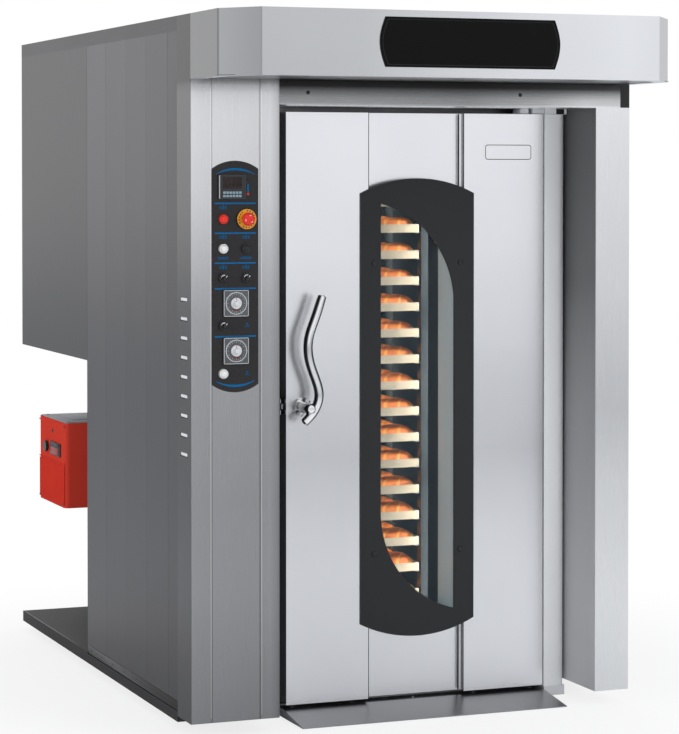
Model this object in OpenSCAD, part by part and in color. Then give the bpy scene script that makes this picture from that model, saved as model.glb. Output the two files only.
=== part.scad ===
// Rotating rack oven: a stainless cabinet with a canopy, a windowed door and a turning rack.
// Sizes are millimetres. Drawn in oven coordinates: X from the left side, Y back from the front
// of the columns, Z up from the floor; placed() then centres the footprint on the origin.

/* [Cabinet] */
// Width of the cabinet over the side panels
body_w = 1460; // [1440:5:1500]
// Height of the cabinet and of the canopy
body_h = 2160; // [2140:5:2200]
// Depth of the lower left side, from the columns' front to the burner bay
lower_depth = 1130; // [1120:5:1150]
// Depth of the whole cabinet behind the columns' front
full_depth = 2010; // [1980:10:2100]
// Height of the upper rear casing's underside over the floor
overhang_z = 1055; // [1000:5:1080]
// Width of the burner bay under the overhang
bay_w = 262; // [250:2:280]
// Sheet thickness of the casing
skin_t = 2; // [1.5:0.5:3]
// Depth of the folded side cassettes
panel_depth = 40; // [30:1:44]
// Number of wide cassettes on the lower left side
left_panels = 4; // [3:1:5]
// Number of cassettes on the right side
right_panels = 7; // [5:1:8]
// Width of the narrow cassette behind the left column
narrow_panel_w = 93; // [80:1:110]
// Joint between two neighbouring cassettes
seam_gap = 0.6; // [0.4:0.1:0.8]
// Height of the dark trim rails along the top edges
trim_h = 46; // [30:1:60]

/* [Base] */
// Thickness of the insulated floor slab
slab_h = 28; // [24:1:30]
// Distance of the slab's sides from the cabinet's sides
slab_inset = 110; // [80:5:150]
// Height of the base rails
rail_h = 32; // [28:1:46]
// Width of the base rails
rail_w = 50; // [40:1:60]
// Thickness of the deck behind the lower body
deck_t = 5; // [3:1:6]
// Height of the side panels' lower edge over the floor
panel_foot = 92; // [84:1:100]
// Set-back of the plinth strip under the side panels
plinth_set_back = 8; // [4:1:12]
// Diameter of the levelling feet
foot_d = 60; // [40:1:70]
// Diameter of the levelling feet's screws
foot_screw_d = 16; // [12:1:20]
// Thickness of the levelling feet's discs
foot_disc_h = 10; // [6:1:14]

/* [Front] */
// Width of the left column, which holds the controls
pillar_w = 280; // [270:1:290]
// Depth of the left column
pillar_depth = 131; // [120:1:140]
// Height of the columns' lower ends over the floor
pillar_foot = 46; // [40:1:60]
// Width of the right column
right_pillar_w = 118; // [110:1:130]
// Distance of the left column's first fold from the outer edge
fold_1 = 66; // [50:1:66]
// Distance of the left column's second fold from the outer edge
fold_2 = 218; // [214:1:230]
// Width of the fold grooves
fold_groove_w = 2; // [1:0.5:3]
// Depth of the fold grooves
fold_groove_d = 0.8; // [0.5:0.1:1.2]
// Distance of the door's face behind the columns' front
door_recess = 198; // [180:1:210]
// Height of the lintel's visible face
lintel_h = 73; // [60:1:80]
// Height of the canopy
canopy_h = 194; // [180:1:200]
// Distance that the canopy stands out from the columns
canopy_reach = 370; // [340:5:400]
// Width of the canopy's corner cut
corner_w = 94; // [80:1:110]
// Depth of the canopy's corner cut
corner_d = 120; // [100:1:140]
// Width of the canopy's folded lower lip
lip_w = 40; // [30:1:50]
// Height of the canopy's lining over its lower edge
lining_lift = 30; // [20:1:40]
// Width of the badge plate
badge_w = 578; // [500:2:600]
// Height of the badge plate
badge_h = 146; // [130:1:150]
// Distance of the badge plate's lower edge over the canopy's edge
badge_lift = 28; // [20:1:32]
// Distance that the badge plate's ends bulge out
badge_bulge = 22; // [16:1:30]
// Thickness of the badge plate
badge_t = 4; // [3:0.5:6]

/* [Louvres] */
// Number of air louvres in the left column's side
louvre_count = 9; // [7:1:10]
// Distance between two louvres
louvre_pitch = 58; // [50:1:60]
// Height of the lowest louvre over the floor
louvre_z = 839; // [800:1:860]
// Length of a louvre
louvre_l = 65; // [50:1:70]
// Opening height of a louvre
louvre_h = 12; // [8:1:16]
// Distance of the louvres behind the column's front
louvre_set_back = 34; // [30:1:40]

/* [Door] */
// Gap between the left column and the door leaf
door_side_gap = 94; // [90:1:100]
// Thickness of the door leaf
leaf_t = 85; // [80:1:88]
// Height of the door's lower edge over the floor
door_foot = 37; // [35:1:42]
// Gap between the door and the lintel
door_head_gap = 17; // [14:1:20]
// Diameter of the hinge post's round edge, which is the post's depth
post_d = 60; // [56:1:66]
// Width of the hinge post
post_w = 78; // [72:1:84]
// Gap between the hinge post and the right column
post_gap = 5; // [4:0.5:7]
// Width of the recessed strip between the leaf and the hinge post
hinge_strip_w = 5; // [3:0.5:7]
// Set-back of that strip behind the door's face
hinge_strip_set_back = 14; // [10:1:18]
// Diameter of the pivot pins
pivot_d = 20; // [16:1:26]
// Length of the pivot pins in the hinge post
pivot_l = 40; // [30:1:50]
// Radial running clearance of shafts and pins
run_fit = 0.05; // [0.02:0.01:0.08]
// Depth of the recessed channel in the door's middle
channel_depth = 30; // [24:1:36]
// Shift of the sunk channel from the leaf's middle
channel_shift = -2; // [-14:1:4]
// Width of the channel
channel_w = 328; // [320:1:340]
// Sheet thickness of the door's skins
door_skin_t = 2; // [1.5:0.5:2.5]
// Width of the seal behind the door
seal_w = 20; // [16:1:24]
// Distance of the seal from the leaf's edges
seal_inset = 10; // [8:1:14]
// Gap between the door's back and the jambs
jamb_gap = 8; // [7:0.5:10]
// Length of the bare raised plate on the door
plate_w = 169; // [150:1:180]
// Height of the bare raised plate on the door
plate_h = 55; // [45:1:60]
// Distance of the raised plate's right edge from the leaf's right edge
plate_x = 40; // [30:1:50]
// Distance of the raised plate's middle under the door's top
plate_drop = 122; // [100:1:140]
// Height of the raised plate's relief
plate_relief = 1.5; // [1:0.1:2]

/* [Window] */
// Width of the charcoal window plate
window_w = 388; // [380:1:396]
// Height of the window plate's lower shoulders over the door's lower edge
window_foot = 236; // [220:1:250]
// Height of the window plate between its shoulders
window_side_h = 1351; // [1340:1:1360]
// Rise of the window plate's arched ends
window_rise = 47; // [40:1:54]
// Thickness of the window plate
window_t = 5; // [4:0.5:6]
// Width of the opening in the window plate
opening_w = 251; // [245:1:251]
// Height of the opening's straight left edge
opening_side_h = 967; // [940:1:980]
// Radius of the opening's two curved corners
opening_r = 326; // [320:1:340]
// Distance of the window opening's middle left of the leaf's middle
opening_shift = 0; // [-1:0.5:1]
// Distance of the window plate's middle from the leaf's middle
window_shift = 0; // [-2:0.5:2]
// Distance from one bolt column to the other
bolt_spacing_x = 295; // [290:1:300]
// Distance from the lower bolts to the upper bolts
bolt_spacing_z = 912; // [880:1:940]
// Diameter of the window bolts' shanks
bolt_d = 8; // [6:0.5:10]
// Diameter of the window bolts' heads
bolt_head_d = 17; // [14:0.5:20]
// Thickness of the window glass
glass_t = 5; // [4:0.5:6]
// Depth from the outer glass to the inner glass
tunnel_depth = 131; // [120:1:134]
// Clearance of the tunnel in its sheets, and of the inner glass in its rim
tunnel_gap = 0.5; // [0.4:0.1:0.8]

/* [Handle] */
// Height of the handle's pivot over the floor
handle_z = 962; // [940:1:980]
// Distance of the handle's pivot from the leaf's left edge
handle_x = 53; // [48:1:60]
// Diameter of the handle's bar
bar_d = 30; // [26:1:32]
// Distance of the bar's middle from the door's face
bar_reach = 62; // [56:1:70]
// Diameter of the handle's rose
rose_d = 59; // [50:1:62]
// Thickness of the handle's rose
rose_t = 12; // [8:1:14]
// Diameter of the handle's spindle
spindle_d = 14; // [12:1:16]
// Diameter of the handle's hub
hub_d = 36; // [32:1:38]
// Width of the latch bolt
latch_w = 20; // [16:1:22]
// Height of the latch bolt
latch_h = 16; // [12:1:18]
// Length that the latch bolt stands out of the leaf at rest
latch_out = 2; // [1:0.5:3]
// Clearance around the latch bolt
latch_gap = 0.4; // [0.3:0.1:0.6]

/* [Controls] */
// Width of the control panel
panel_w = 146; // [140:1:150]
// Height of the control panel between its shoulders
panel_side_h = 643; // [635:1:650]
// Rise of the control panel's arched ends
panel_rise = 24; // [18:1:28]
// Height of the control panel's lower shoulders over the floor
panel_z = 1057; // [1040:1:1070]
// Thickness of the control panel
panel_t = 3; // [2:0.5:4]
// Diameter of the push buttons' caps
button_d = 20; // [18:0.5:20]
// Outer diameter of the chrome bezels
bezel_d = 30; // [28:0.5:32]
// Height of the chrome bezels
bezel_h = 6; // [5:0.5:8]
// Travel of the push buttons
button_travel = 4; // [3:0.5:5]
// Length of the switches' barrels behind the panel
barrel_l = 38; // [30:1:50]
// Diameter of the switches' barrels, which is that of their holes less a gap
barrel_d = 22; // [21.5:0.1:22.3]
// Diameter of the emergency stop's disc
stop_disc_d = 60; // [54:1:62]
// Diameter of the emergency stop's head
stop_head_d = 40; // [36:1:42]
// Travel of the emergency stop
stop_travel = 6; // [5:0.5:7]
// Width and height of a timer's square front
timer_w = 80; // [76:1:82]
// Diameter of a timer's knob
timer_knob_d = 34; // [28:1:38]
// Width of the temperature controller
controller_w = 85; // [80:1:90]
// Height of the temperature controller
controller_h = 72; // [68:1:76]

/* [Chamber] */
// Inner width of the baking chamber
chamber_w = 800; // [790:5:820]
// Distance of the chamber's rear wall behind the columns' front
chamber_back = 1160; // [1150:5:1180]
// Thickness of the chamber's sheets
chamber_t = 3; // [2:0.5:4]
// Height of the chamber's ceiling over the floor
ceiling_z = 1880; // [1870:5:1900]
// Height of the door opening's head over the floor
opening_z = 1840; // [1830:2:1846]
// Depth of the jambs' returns into the chamber
jamb_depth = 54; // [50:1:60]
// Overlap of the door's left edge on the jamb
door_lap = 56; // [50:1:60]
// Distance of the jambs' inner edge from the chamber's right wall
jamb_return = 10; // [6:1:14]
// Height of the roof plate over the floor
roof_z = 1983; // [1970:1:1990]

/* [Rack] */
// Distance of the rack's turning axis behind the columns' front
rack_y = 745; // [740:1:750]
// Width of a tray
tray_w = 398; // [380:2:400]
// Length of a tray
tray_l = 598; // [580:2:600]
// Height of a tray's rim
tray_h = 27; // [20:1:30]
// Sheet thickness of a tray
tray_t = 1.5; // [1:0.5:2]
// Number of trays
tray_count = 18; // [14:1:18]
// Distance between two trays
tray_pitch = 85; // [80:1:86]
// Height of the lowest tray over the floor
tray_z = 219; // [200:1:225]
// Width of the rack's square posts
post_sq = 25; // [20:1:28]
// Clearance between the trays and the posts
rack_gap = 4; // [3:0.5:6]
// Height of the rack's top over the floor
rack_top = 1790; // [1780:2:1800]
// Height of the rack's lower rails over the floor
rack_foot = 150; // [146:1:156]
// Width of a tray ledge
ledge_w = 22; // [18:1:26]
// Radius of a loaf
loaf_r = 58; // [50:1:60]
// Length of a loaf
loaf_l = 176; // [150:2:180]
// Number of loaves along a tray
loaf_rows = 4; // [3:1:4]
// Diameter of the turntable
table_d = 740; // [720:5:750]
// Thickness of the turntable
table_t = 6; // [5:1:8]
// Diameter of the turntable's pivot pin
table_pin_d = 30; // [24:1:36]
// Diameter of the caster wheels
wheel_d = 90; // [80:1:94]
// Width of the caster wheels
wheel_w = 28; // [24:1:30]
// Diameter of the rack's drive shaft
shaft_d = 40; // [34:1:44]

/* [Heating] */
// Height of the burner's axis over the floor
burner_z = 675; // [660:1:700]
// Depth of the burner's housing
burner_l = 351; // [330:1:360]
// Height of the burner's housing
burner_h = 300; // [280:1:310]
// Width of the burner's housing
burner_w = 213; // [200:1:216]
// Distance of the burner's housing from the rear
burner_set_back = 238; // [220:1:250]
// Distance of the burner's housing behind the furnace's axis
burner_shift = 77; // [70:1:90]
// Drop of the burner's housing under the furnace's axis
burner_drop = 19; // [10:1:30]
// Diameter of the air intake under the burner's housing
burner_air_d = 100; // [80:1:110]
// Diameter of the burner's blast tube
blast_d = 130; // [110:1:140]
// Diameter of the burner's reset knob
reset_d = 40; // [34:1:44]
// Diameter of the combustion chamber
furnace_d = 420; // [380:5:440]
// Wall thickness of the combustion chamber and its tubes
furnace_t = 4; // [3:0.5:5]
// Length of the combustion chamber
furnace_l = 980; // [900:10:1000]
// Outer diameter of a heat exchanger tube
tube_d = 60; // [50:1:64]
// Number of tubes in a row of the heat exchanger
tube_rows = 5; // [4:1:5]
// Distance between two heat exchanger tubes
tube_pitch = 110; // [100:1:112]
// Outer diameter of the flue collar
flue_d = 200; // [180:1:210]
// Outer diameter of the steam collar
steam_d = 150; // [130:1:160]
// Height of the collars over the roof plate
collar_h = 150; // [100:1:155]
// Diameter of the circulation fan's impeller
fan_d = 440; // [400:5:460]
// Width of the circulation fan's impeller
fan_w = 90; // [80:1:100]
// Number of the circulation fan's blades
fan_blades = 12; // [10:1:14]
// Diameter of the circulation fan's shaft
fan_shaft_d = 28; // [24:1:32]
// Number of the steam generator's cascade bars
steam_bars = 6; // [4:1:7]

/* [Hidden] */

// Fineness of round forms, and the small overlap of cutters past a face
round_fn = 48;
small_fn = 28;
cut = 1;
// Gap between two sheets of one group, so that each stays a separate sheet
sheet_gap = 0.3;

// Cabinet
front_y = -(full_depth - canopy_reach - badge_t) / 2;
mid_x = body_w / 2;
rail_top = slab_h + rail_h;
deck_top = rail_top + deck_t;
canopy_z = body_h - canopy_h;
lintel_z = canopy_z - lintel_h;
trim_z = body_h - trim_h;
right_x = body_w - right_pillar_w;

// Door and jambs, from the hinge side to the free edge
hinge_x = right_x - post_gap - post_d / 2;
hinge_y = door_recess + post_d / 2;
post_x0 = right_x - post_gap - post_w;
leaf_x0 = pillar_w + door_side_gap;
leaf_x1 = post_x0 - hinge_strip_w;
leaf_w = leaf_x1 - leaf_x0;
door_top = lintel_z - door_head_gap;
leaf_back = door_recess + leaf_t;
channel_x0 = (leaf_x0 + leaf_x1 - channel_w) / 2 + channel_shift;
channel_x1 = channel_x0 + channel_w;
channel_y = door_recess + channel_depth;
inner_skin_y = leaf_back - door_skin_t;
jamb_y = leaf_back + jamb_gap;
jamb_back = jamb_y + jamb_depth;
chamber_x0 = mid_x - chamber_w / 2;
chamber_x1 = mid_x + chamber_w / 2;
opening_x0 = leaf_x0 + door_lap;
opening_x1 = chamber_x1 - jamb_return;
lower_pivot_h = door_foot - 6;

// Window
window_x = (leaf_x0 + leaf_x1) / 2 + window_shift;
opening_mid_x = (leaf_x0 + leaf_x1) / 2 + opening_shift;
window_z0 = door_foot + window_foot;
window_z1 = window_z0 + window_side_h;
window_mid_z = (window_z0 + window_z1) / 2;
open_x0 = opening_mid_x - opening_w / 2;
open_x1 = opening_mid_x + opening_w / 2;
// The opening's curved corners reach past its straight edges by this height
open_arc_h = sqrt(opening_r * opening_r - (opening_r - opening_w) * (opening_r - opening_w));
open_h = opening_side_h + open_arc_h;
open_z0 = window_mid_z - open_h / 2;
open_z1 = window_mid_z + open_h / 2;
tunnel_lap = 4;
tunnel_x0 = open_x0 - tunnel_lap;
tunnel_x1 = open_x1 + tunnel_lap;
tunnel_z0 = open_z0 - tunnel_lap;
tunnel_z1 = open_z1 + tunnel_lap;
outer_glass_y = door_recess + glass_t;
tunnel_end = door_recess + tunnel_depth;
flange_w = 12;
flange_t = 3;
rim_w = 3;

// Rack
rack_x = mid_x;
post_half_x = tray_w / 2 + rack_gap;
post_half_y = tray_l / 2 + 2;
floor_top = slab_h + 6;
table_z = floor_top + 2;
table_top = table_z + table_t;
wheel_z = table_top + wheel_d / 2;
carrier_h = 15;
caster_x = post_half_x + post_sq / 2 - 46;
caster_y = post_half_y - 62;
gear_top = roof_z + skin_t + 142;

// Rear
fan_z = 1640;
fan_motor_l = 230;
fan_motor_d = 200;
steam_w = 600;
steam_end_t = 10;
gear_axis_h = 75;
fan_y = chamber_back + chamber_t + 40;
furnace_y = full_depth - burner_set_back - burner_l / 2;
burner_x = bay_w - burner_w - 27;
header_h = 60;
header_z = burner_z + furnace_d / 2 + 115;
tube_h = 400;
header_w = 5 * tube_pitch;
upper_header_z = header_z + header_h + tube_h;
furnace_x0 = bay_w + skin_t + 36;
furnace_x1 = furnace_x0 + furnace_l;
burner_y0 = furnace_y + burner_shift - burner_l / 2;
burner_y1 = burner_y0 + burner_l;
burner_z0 = burner_z - burner_drop - burner_h / 2;
reset_y = furnace_y + burner_shift + 59.5;
reset_z = burner_z + 30;
gas_z = burner_z - burner_drop - 90;

// Control panel: columns and rows of its elements
panel_x = (fold_1 + fold_2) / 2 - panel_w / 2 - 3;
panel_y = -panel_t;
left_column_x = panel_x + 35;
right_column_x = panel_x + 107;
timer_x = panel_x + 74;
controller_x = panel_x + 62;
controller_z = panel_z + 589;
stop_z = panel_z + 493;
button_z = panel_z + 405;
selector_z = panel_z + 318;
timer_1_z = panel_z + 242;
selector_3_z = panel_z + 176;
timer_2_z = panel_z + 100;
bell_z = panel_z + 32;
plunger_front = 13;
plunger_gap = 0.3;
instrument_l = 60;

// Handle: the bar's middle line as X and Z distances from the pivot
bar_path = [[41, 341], [24, 288], [3, 238], [-5, 202], [-3, 160], [8, 122], [24, 84], [34, 50],
            [31, 20], [18, -6], [2, -26], [-18, -44]];
bar_sides = 20;
bar_steps = 5;

module placed() {
    translate([-mid_x, front_y, 0]) children();
}

module block(x0, x1, y0, y1, z0, z1) {
    translate([x0, y0, z0]) cube([x1 - x0, y1 - y0, z1 - z0]);
}

// A round bar along Y, from y0 to y1
module y_rod(x, y0, y1, z, d, fn = round_fn) {
    translate([x, y1, z]) rotate([90, 0, 0]) cylinder(h = y1 - y0, d = d, $fn = fn);
}

// A round bar along X, from x0 to x1
module x_rod(x0, x1, y, z, d, fn = round_fn) {
    translate([x0, y, z]) rotate([0, 90, 0]) cylinder(h = x1 - x0, d = d, $fn = fn);
}

module z_rod(x, y, z0, z1, d, fn = round_fn) {
    translate([x, y, z0]) cylinder(h = z1 - z0, d = d, $fn = fn);
}

// A flat outline in X and Z, from y0 back to y1
module upright(y0, y1) {
    translate([0, y1, 0]) rotate([90, 0, 0]) linear_extrude(height = y1 - y0) children();
}

// A rectangle with arched ends: w wide, side_h high between its shoulders, each arch rising by rise
module arched(w, side_h, rise) {
    r = (w * w / 4 + rise * rise) / (2 * rise);
    translate([-w / 2, 0]) square([w, side_h]);
    for (k = [0, 1])
        translate([0, k * side_h]) mirror([0, 1 - k, 0])
            intersection() {
                translate([0, rise - r]) circle(r = r, $fn = 96);
                translate([-w / 2, -cut]) square([w, rise + cut * 2]);
            }
}

// A folded cassette, open on its inner side; side = 1 faces left, side = -1 faces right
module cassette(x_face, side, y0, y1, z0, z1) {
    x_back = x_face + side * panel_depth;
    x_skin = x_face + side * skin_t;
    difference() {
        block(min(x_face, x_back), max(x_face, x_back), y0, y1, z0, z1);
        block(min(x_skin, x_back + side * cut), max(x_skin, x_back + side * cut),
              y0 + skin_t, y1 - skin_t, z0 + skin_t, z1 - skin_t);
    }
}

module base_frame() {
    color("dimgray") placed() {
        block(0, rail_w, pillar_depth, full_depth, slab_h, rail_top);
        block(body_w - rail_w, body_w, jamb_y, full_depth, slab_h, rail_top);
        for (y = [chamber_back + rail_w / 2, full_depth - rail_w])
            block(rail_w - cut, body_w - rail_w + cut, y, y + rail_w, slab_h, rail_top);
        block(0, bay_w, lower_depth, full_depth, rail_top, deck_top);
        block(bay_w - cut, body_w, chamber_back + rail_w / 2, full_depth, rail_top, deck_top);
        block(plinth_set_back, panel_depth, pillar_depth, lower_depth, rail_top, panel_foot);
        block(body_w - panel_depth, body_w - plinth_set_back, jamb_y, full_depth - skin_t - sheet_gap,
              rail_top, panel_foot);
    }
}

module levelling_feet() {
    color("darkgray") placed()
        for (x = [slab_inset + foot_d / 2, body_w - slab_inset - foot_d / 2])
            for (y = [chamber_back + rail_w, full_depth - foot_d / 2 - 5]) {
                z_rod(x, y, 0, foot_disc_h, foot_d);
                z_rod(x, y, 0, slab_h, foot_screw_d, small_fn);
            }
}

slab_front = hinge_y + post_d / 2 + 4;

module floor_slab() {
    color("gray") placed() difference() {
        block(slab_inset, body_w - slab_inset, slab_front, chamber_back, 0, slab_h);
        z_rod(rack_x, rack_y, 6, slab_h + cut, table_pin_d + 2 * run_fit);
    }
}

ramp_front = 20;
ramp_lip = 3;
ramp_side_gap = 11;

module entry_ramp() {
    color("silver") placed()
        translate([leaf_x0 - ramp_side_gap, 0, 0]) rotate([90, 0, 90])
            linear_extrude(height = leaf_w + ramp_side_gap)
                polygon([[ramp_front, 0], [ramp_front, ramp_lip], [door_recess, slab_h - 2],
                         [slab_front - sheet_gap, slab_h - 2], [slab_front - sheet_gap, 0]]);
}

module louvre_cuts() {
    for (i = [0 : louvre_count - 1])
        block(-cut, skin_t + cut, louvre_set_back, louvre_set_back + louvre_l,
              louvre_z + i * louvre_pitch, louvre_z + i * louvre_pitch + louvre_h);
}

control_cut_w = 130;
control_cut_h = 628;

module left_column() {
    color("gainsboro") placed() difference() {
        block(0, pillar_w, 0, pillar_depth, pillar_foot, body_h);
        block(skin_t, pillar_w - skin_t, skin_t, pillar_depth - skin_t, pillar_foot + skin_t,
              body_h - skin_t);
        for (x = [fold_1, fold_2])
            block(x - fold_groove_w / 2, x + fold_groove_w / 2, -cut, fold_groove_d,
                  pillar_foot - cut, canopy_z);
        louvre_cuts();
        block(panel_x + panel_w / 2 - control_cut_w / 2, panel_x + panel_w / 2 + control_cut_w / 2,
              -cut, skin_t + cut, panel_z + 8, panel_z + 8 + control_cut_h);
    }
}

module right_column() {
    color("lightgray") placed() difference() {
        block(right_x, body_w, 0, jamb_y, pillar_foot, lintel_z);
        block(right_x + skin_t, body_w - skin_t, skin_t, jamb_y - skin_t,
              pillar_foot + skin_t, lintel_z + cut);
    }
}

module lintel() {
    color("lightgray") placed() difference() {
        block(pillar_w + sheet_gap, body_w, 0, jamb_y, lintel_z, body_h);
        block(pillar_w + sheet_gap + skin_t, body_w - skin_t, skin_t, jamb_y - skin_t,
              lintel_z + skin_t, body_h - skin_t);
        block(pillar_w + panel_depth, body_w - panel_depth, jamb_y - skin_t - cut, jamb_y + cut,
              roof_z + panel_depth, body_h - panel_depth);
    }
}

// The canopy's outline, drawn in by d on its front, corners and sides
function canopy_outline(d) =
    let (run = sqrt(corner_w * corner_w + corner_d * corner_d),
         side_y = -(canopy_reach - corner_d) + d * corner_w / run
                  - d * (1 - corner_d / run) * corner_d / corner_w,
         front_x = corner_w + d * corner_d / run - d * (1 - corner_w / run) * corner_w / corner_d)
    [[d, d > 0 ? cut : 0], [d, side_y], [front_x, -canopy_reach + d],
     [body_w - front_x, -canopy_reach + d], [body_w - d, side_y], [body_w - d, d > 0 ? cut : 0]];

module canopy_slice(z0, z1, d) {
    translate([0, 0, z0]) linear_extrude(height = z1 - z0) polygon(canopy_outline(d));
}

module canopy_shell() {
    lining_z = canopy_z + lining_lift;
    color("lightgray") placed() difference() {
        canopy_slice(canopy_z, body_h, 0);
        canopy_slice(canopy_z - cut, canopy_z + skin_t + cut, lip_w);
        canopy_slice(canopy_z + skin_t, lining_z, skin_t);
        canopy_slice(lining_z + skin_t, body_h - skin_t, skin_t);
    }
}

module badge_plate() {
    r = (badge_h * badge_h / 4 + badge_bulge * badge_bulge) / (2 * badge_bulge);
    color("black") placed()
        translate([mid_x + 13, -canopy_reach, canopy_z + badge_lift + badge_h / 2])
            rotate([90, 0, 0]) linear_extrude(height = badge_t)
                intersection() {
                    union() {
                        square([badge_w - 2 * badge_bulge, badge_h], center = true);
                        for (k = [-1, 1])
                            intersection() {
                                translate([k * (badge_w / 2 - r), 0]) circle(r = r, $fn = 96);
                                translate([k * (badge_w / 2 - badge_bulge), 0])
                                    square([badge_bulge * 2, badge_h * 0.8], center = true);
                            }
                    }
                    square([badge_w, badge_h], center = true);
                }
}

module side_panels_left() {
    wide_y = pillar_depth + narrow_panel_w;
    pitch = (lower_depth - wide_y) / left_panels;
    color("darkgray") placed() {
        cassette(0, 1, pillar_depth, wide_y - seam_gap, panel_foot, trim_z);
        for (i = [0 : left_panels - 1])
            cassette(0, 1, wide_y + i * pitch, wide_y + (i + 1) * pitch - seam_gap, panel_foot, trim_z);
        cassette(0, 1, lower_depth, full_depth - skin_t - sheet_gap, overhang_z, trim_z);
    }
}

module side_panels_right() {
    pitch = (full_depth - skin_t - sheet_gap - jamb_y) / right_panels;
    color("darkgray") placed()
        for (i = [0 : right_panels - 1])
            cassette(body_w, -1, jamb_y + i * pitch, jamb_y + (i + 1) * pitch - seam_gap,
                     panel_foot, trim_z);
}

module top_trim_rails() {
    trim_t = skin_t;
    rear_y0 = full_depth - panel_depth;
    color("gray") placed() {
        block(0, trim_t, pillar_depth, full_depth, trim_z, body_h);
        block(0, panel_depth, pillar_depth, full_depth, body_h - trim_t, body_h);
        block(body_w - trim_t, body_w, jamb_y, full_depth, trim_z, body_h);
        block(body_w - panel_depth, body_w, jamb_y, full_depth, body_h - trim_t, body_h);
        block(panel_depth + sheet_gap, body_w - panel_depth - sheet_gap, rear_y0, full_depth,
              body_h - trim_t, body_h);
        block(panel_depth + sheet_gap, body_w - panel_depth - sheet_gap, full_depth - trim_t, full_depth,
              trim_z, body_h);
    }
}

gland_x = 180;
gland_y = 420;
gland_d = 32;
water_x = 980;
water_y = full_depth - 130;
water_d = 21.3;
water_h = 60;
flue_x = body_w - 330;
flue_y = furnace_y;
flue_pipe_d = flue_d - 2 * skin_t - 2;
riser_x = flue_x - 130;
exchanger_x = flue_x + 110 - header_w;
steam_x = mid_x - 300;
steam_y = 560;
shaft_gap = 10;

module roof_plate() {
    x0 = panel_depth + sheet_gap;
    color("silver") placed() {
        difference() {
            union() {
                block(x0, body_w - x0, jamb_y, full_depth - skin_t - sheet_gap, roof_z, roof_z + skin_t);
                block(x0, pillar_w, pillar_depth, jamb_y + cut, roof_z, roof_z + skin_t);
            }
            z_rod(rack_x, rack_y, roof_z - cut, roof_z + skin_t + cut, shaft_d + 2 * shaft_gap);
            z_rod(gland_x, gland_y, roof_z - cut, roof_z + skin_t + cut, gland_d);
            z_rod(flue_x, flue_y, roof_z - cut, roof_z + skin_t + cut, flue_d - 2 * skin_t);
            z_rod(steam_x, steam_y, roof_z - cut, roof_z + skin_t + cut, steam_d - 2 * skin_t);
        }
        z_rod(water_x, water_y, roof_z, roof_z + water_h, water_d);
    }
}

module rear_casing_panels() {
    y0 = full_depth - skin_t;
    inner_y1 = y0 - sheet_gap;
    color("darkgray") placed() {
        block(0, body_w, y0, full_depth, overhang_z, trim_z);
        block(bay_w, body_w, y0, full_depth, deck_top, overhang_z - sheet_gap);
        block(panel_depth + sheet_gap, bay_w, lower_depth, inner_y1, overhang_z, overhang_z + skin_t);
        difference() {
            block(bay_w, bay_w + skin_t, lower_depth, inner_y1, deck_top, overhang_z - sheet_gap);
            x_rod(bay_w - cut, bay_w + skin_t + cut, furnace_y, burner_z, blast_d + 6);
        }
        block(panel_depth + sheet_gap, bay_w - sheet_gap, lower_depth - skin_t, lower_depth,
              rail_top, overhang_z + 40);
    }
}

keeper_depth = 66;
keeper_h = 50;
keeper_x1 = leaf_x0 - 8;
keeper_w = 34;
latch_y = door_recess + 47;

module door_jambs() {
    jamb_t = chamber_t;
    color("#3a3b3d") placed() {
        block(pillar_w - skin_t - sheet_gap, pillar_w - sheet_gap, pillar_depth, jamb_y,
              pillar_foot, lintel_z);
        block(pillar_w, opening_x0, jamb_y, jamb_y + jamb_t, slab_h, lintel_z);
        block(opening_x0 - jamb_t, opening_x0, jamb_y, jamb_back, slab_h, ceiling_z - sheet_gap);
        block(opening_x1, right_x - sheet_gap, jamb_y, jamb_y + jamb_t, slab_h, lintel_z);
        block(opening_x1, opening_x1 + jamb_t, jamb_y, jamb_back, slab_h, ceiling_z - sheet_gap);
        block(opening_x0 + sheet_gap, opening_x1 - sheet_gap, jamb_y, jamb_y + jamb_t,
              opening_z, lintel_z);
        block(opening_x0 + sheet_gap, opening_x1 - sheet_gap, jamb_y, jamb_back,
              opening_z, opening_z + jamb_t);
    }
}

air_slot_h = 14;
air_slot_pitch = 90;
air_slots = 18;
return_x = 180;
return_z = 1480;
return_slots = 9;
return_pitch = 34;

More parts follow.
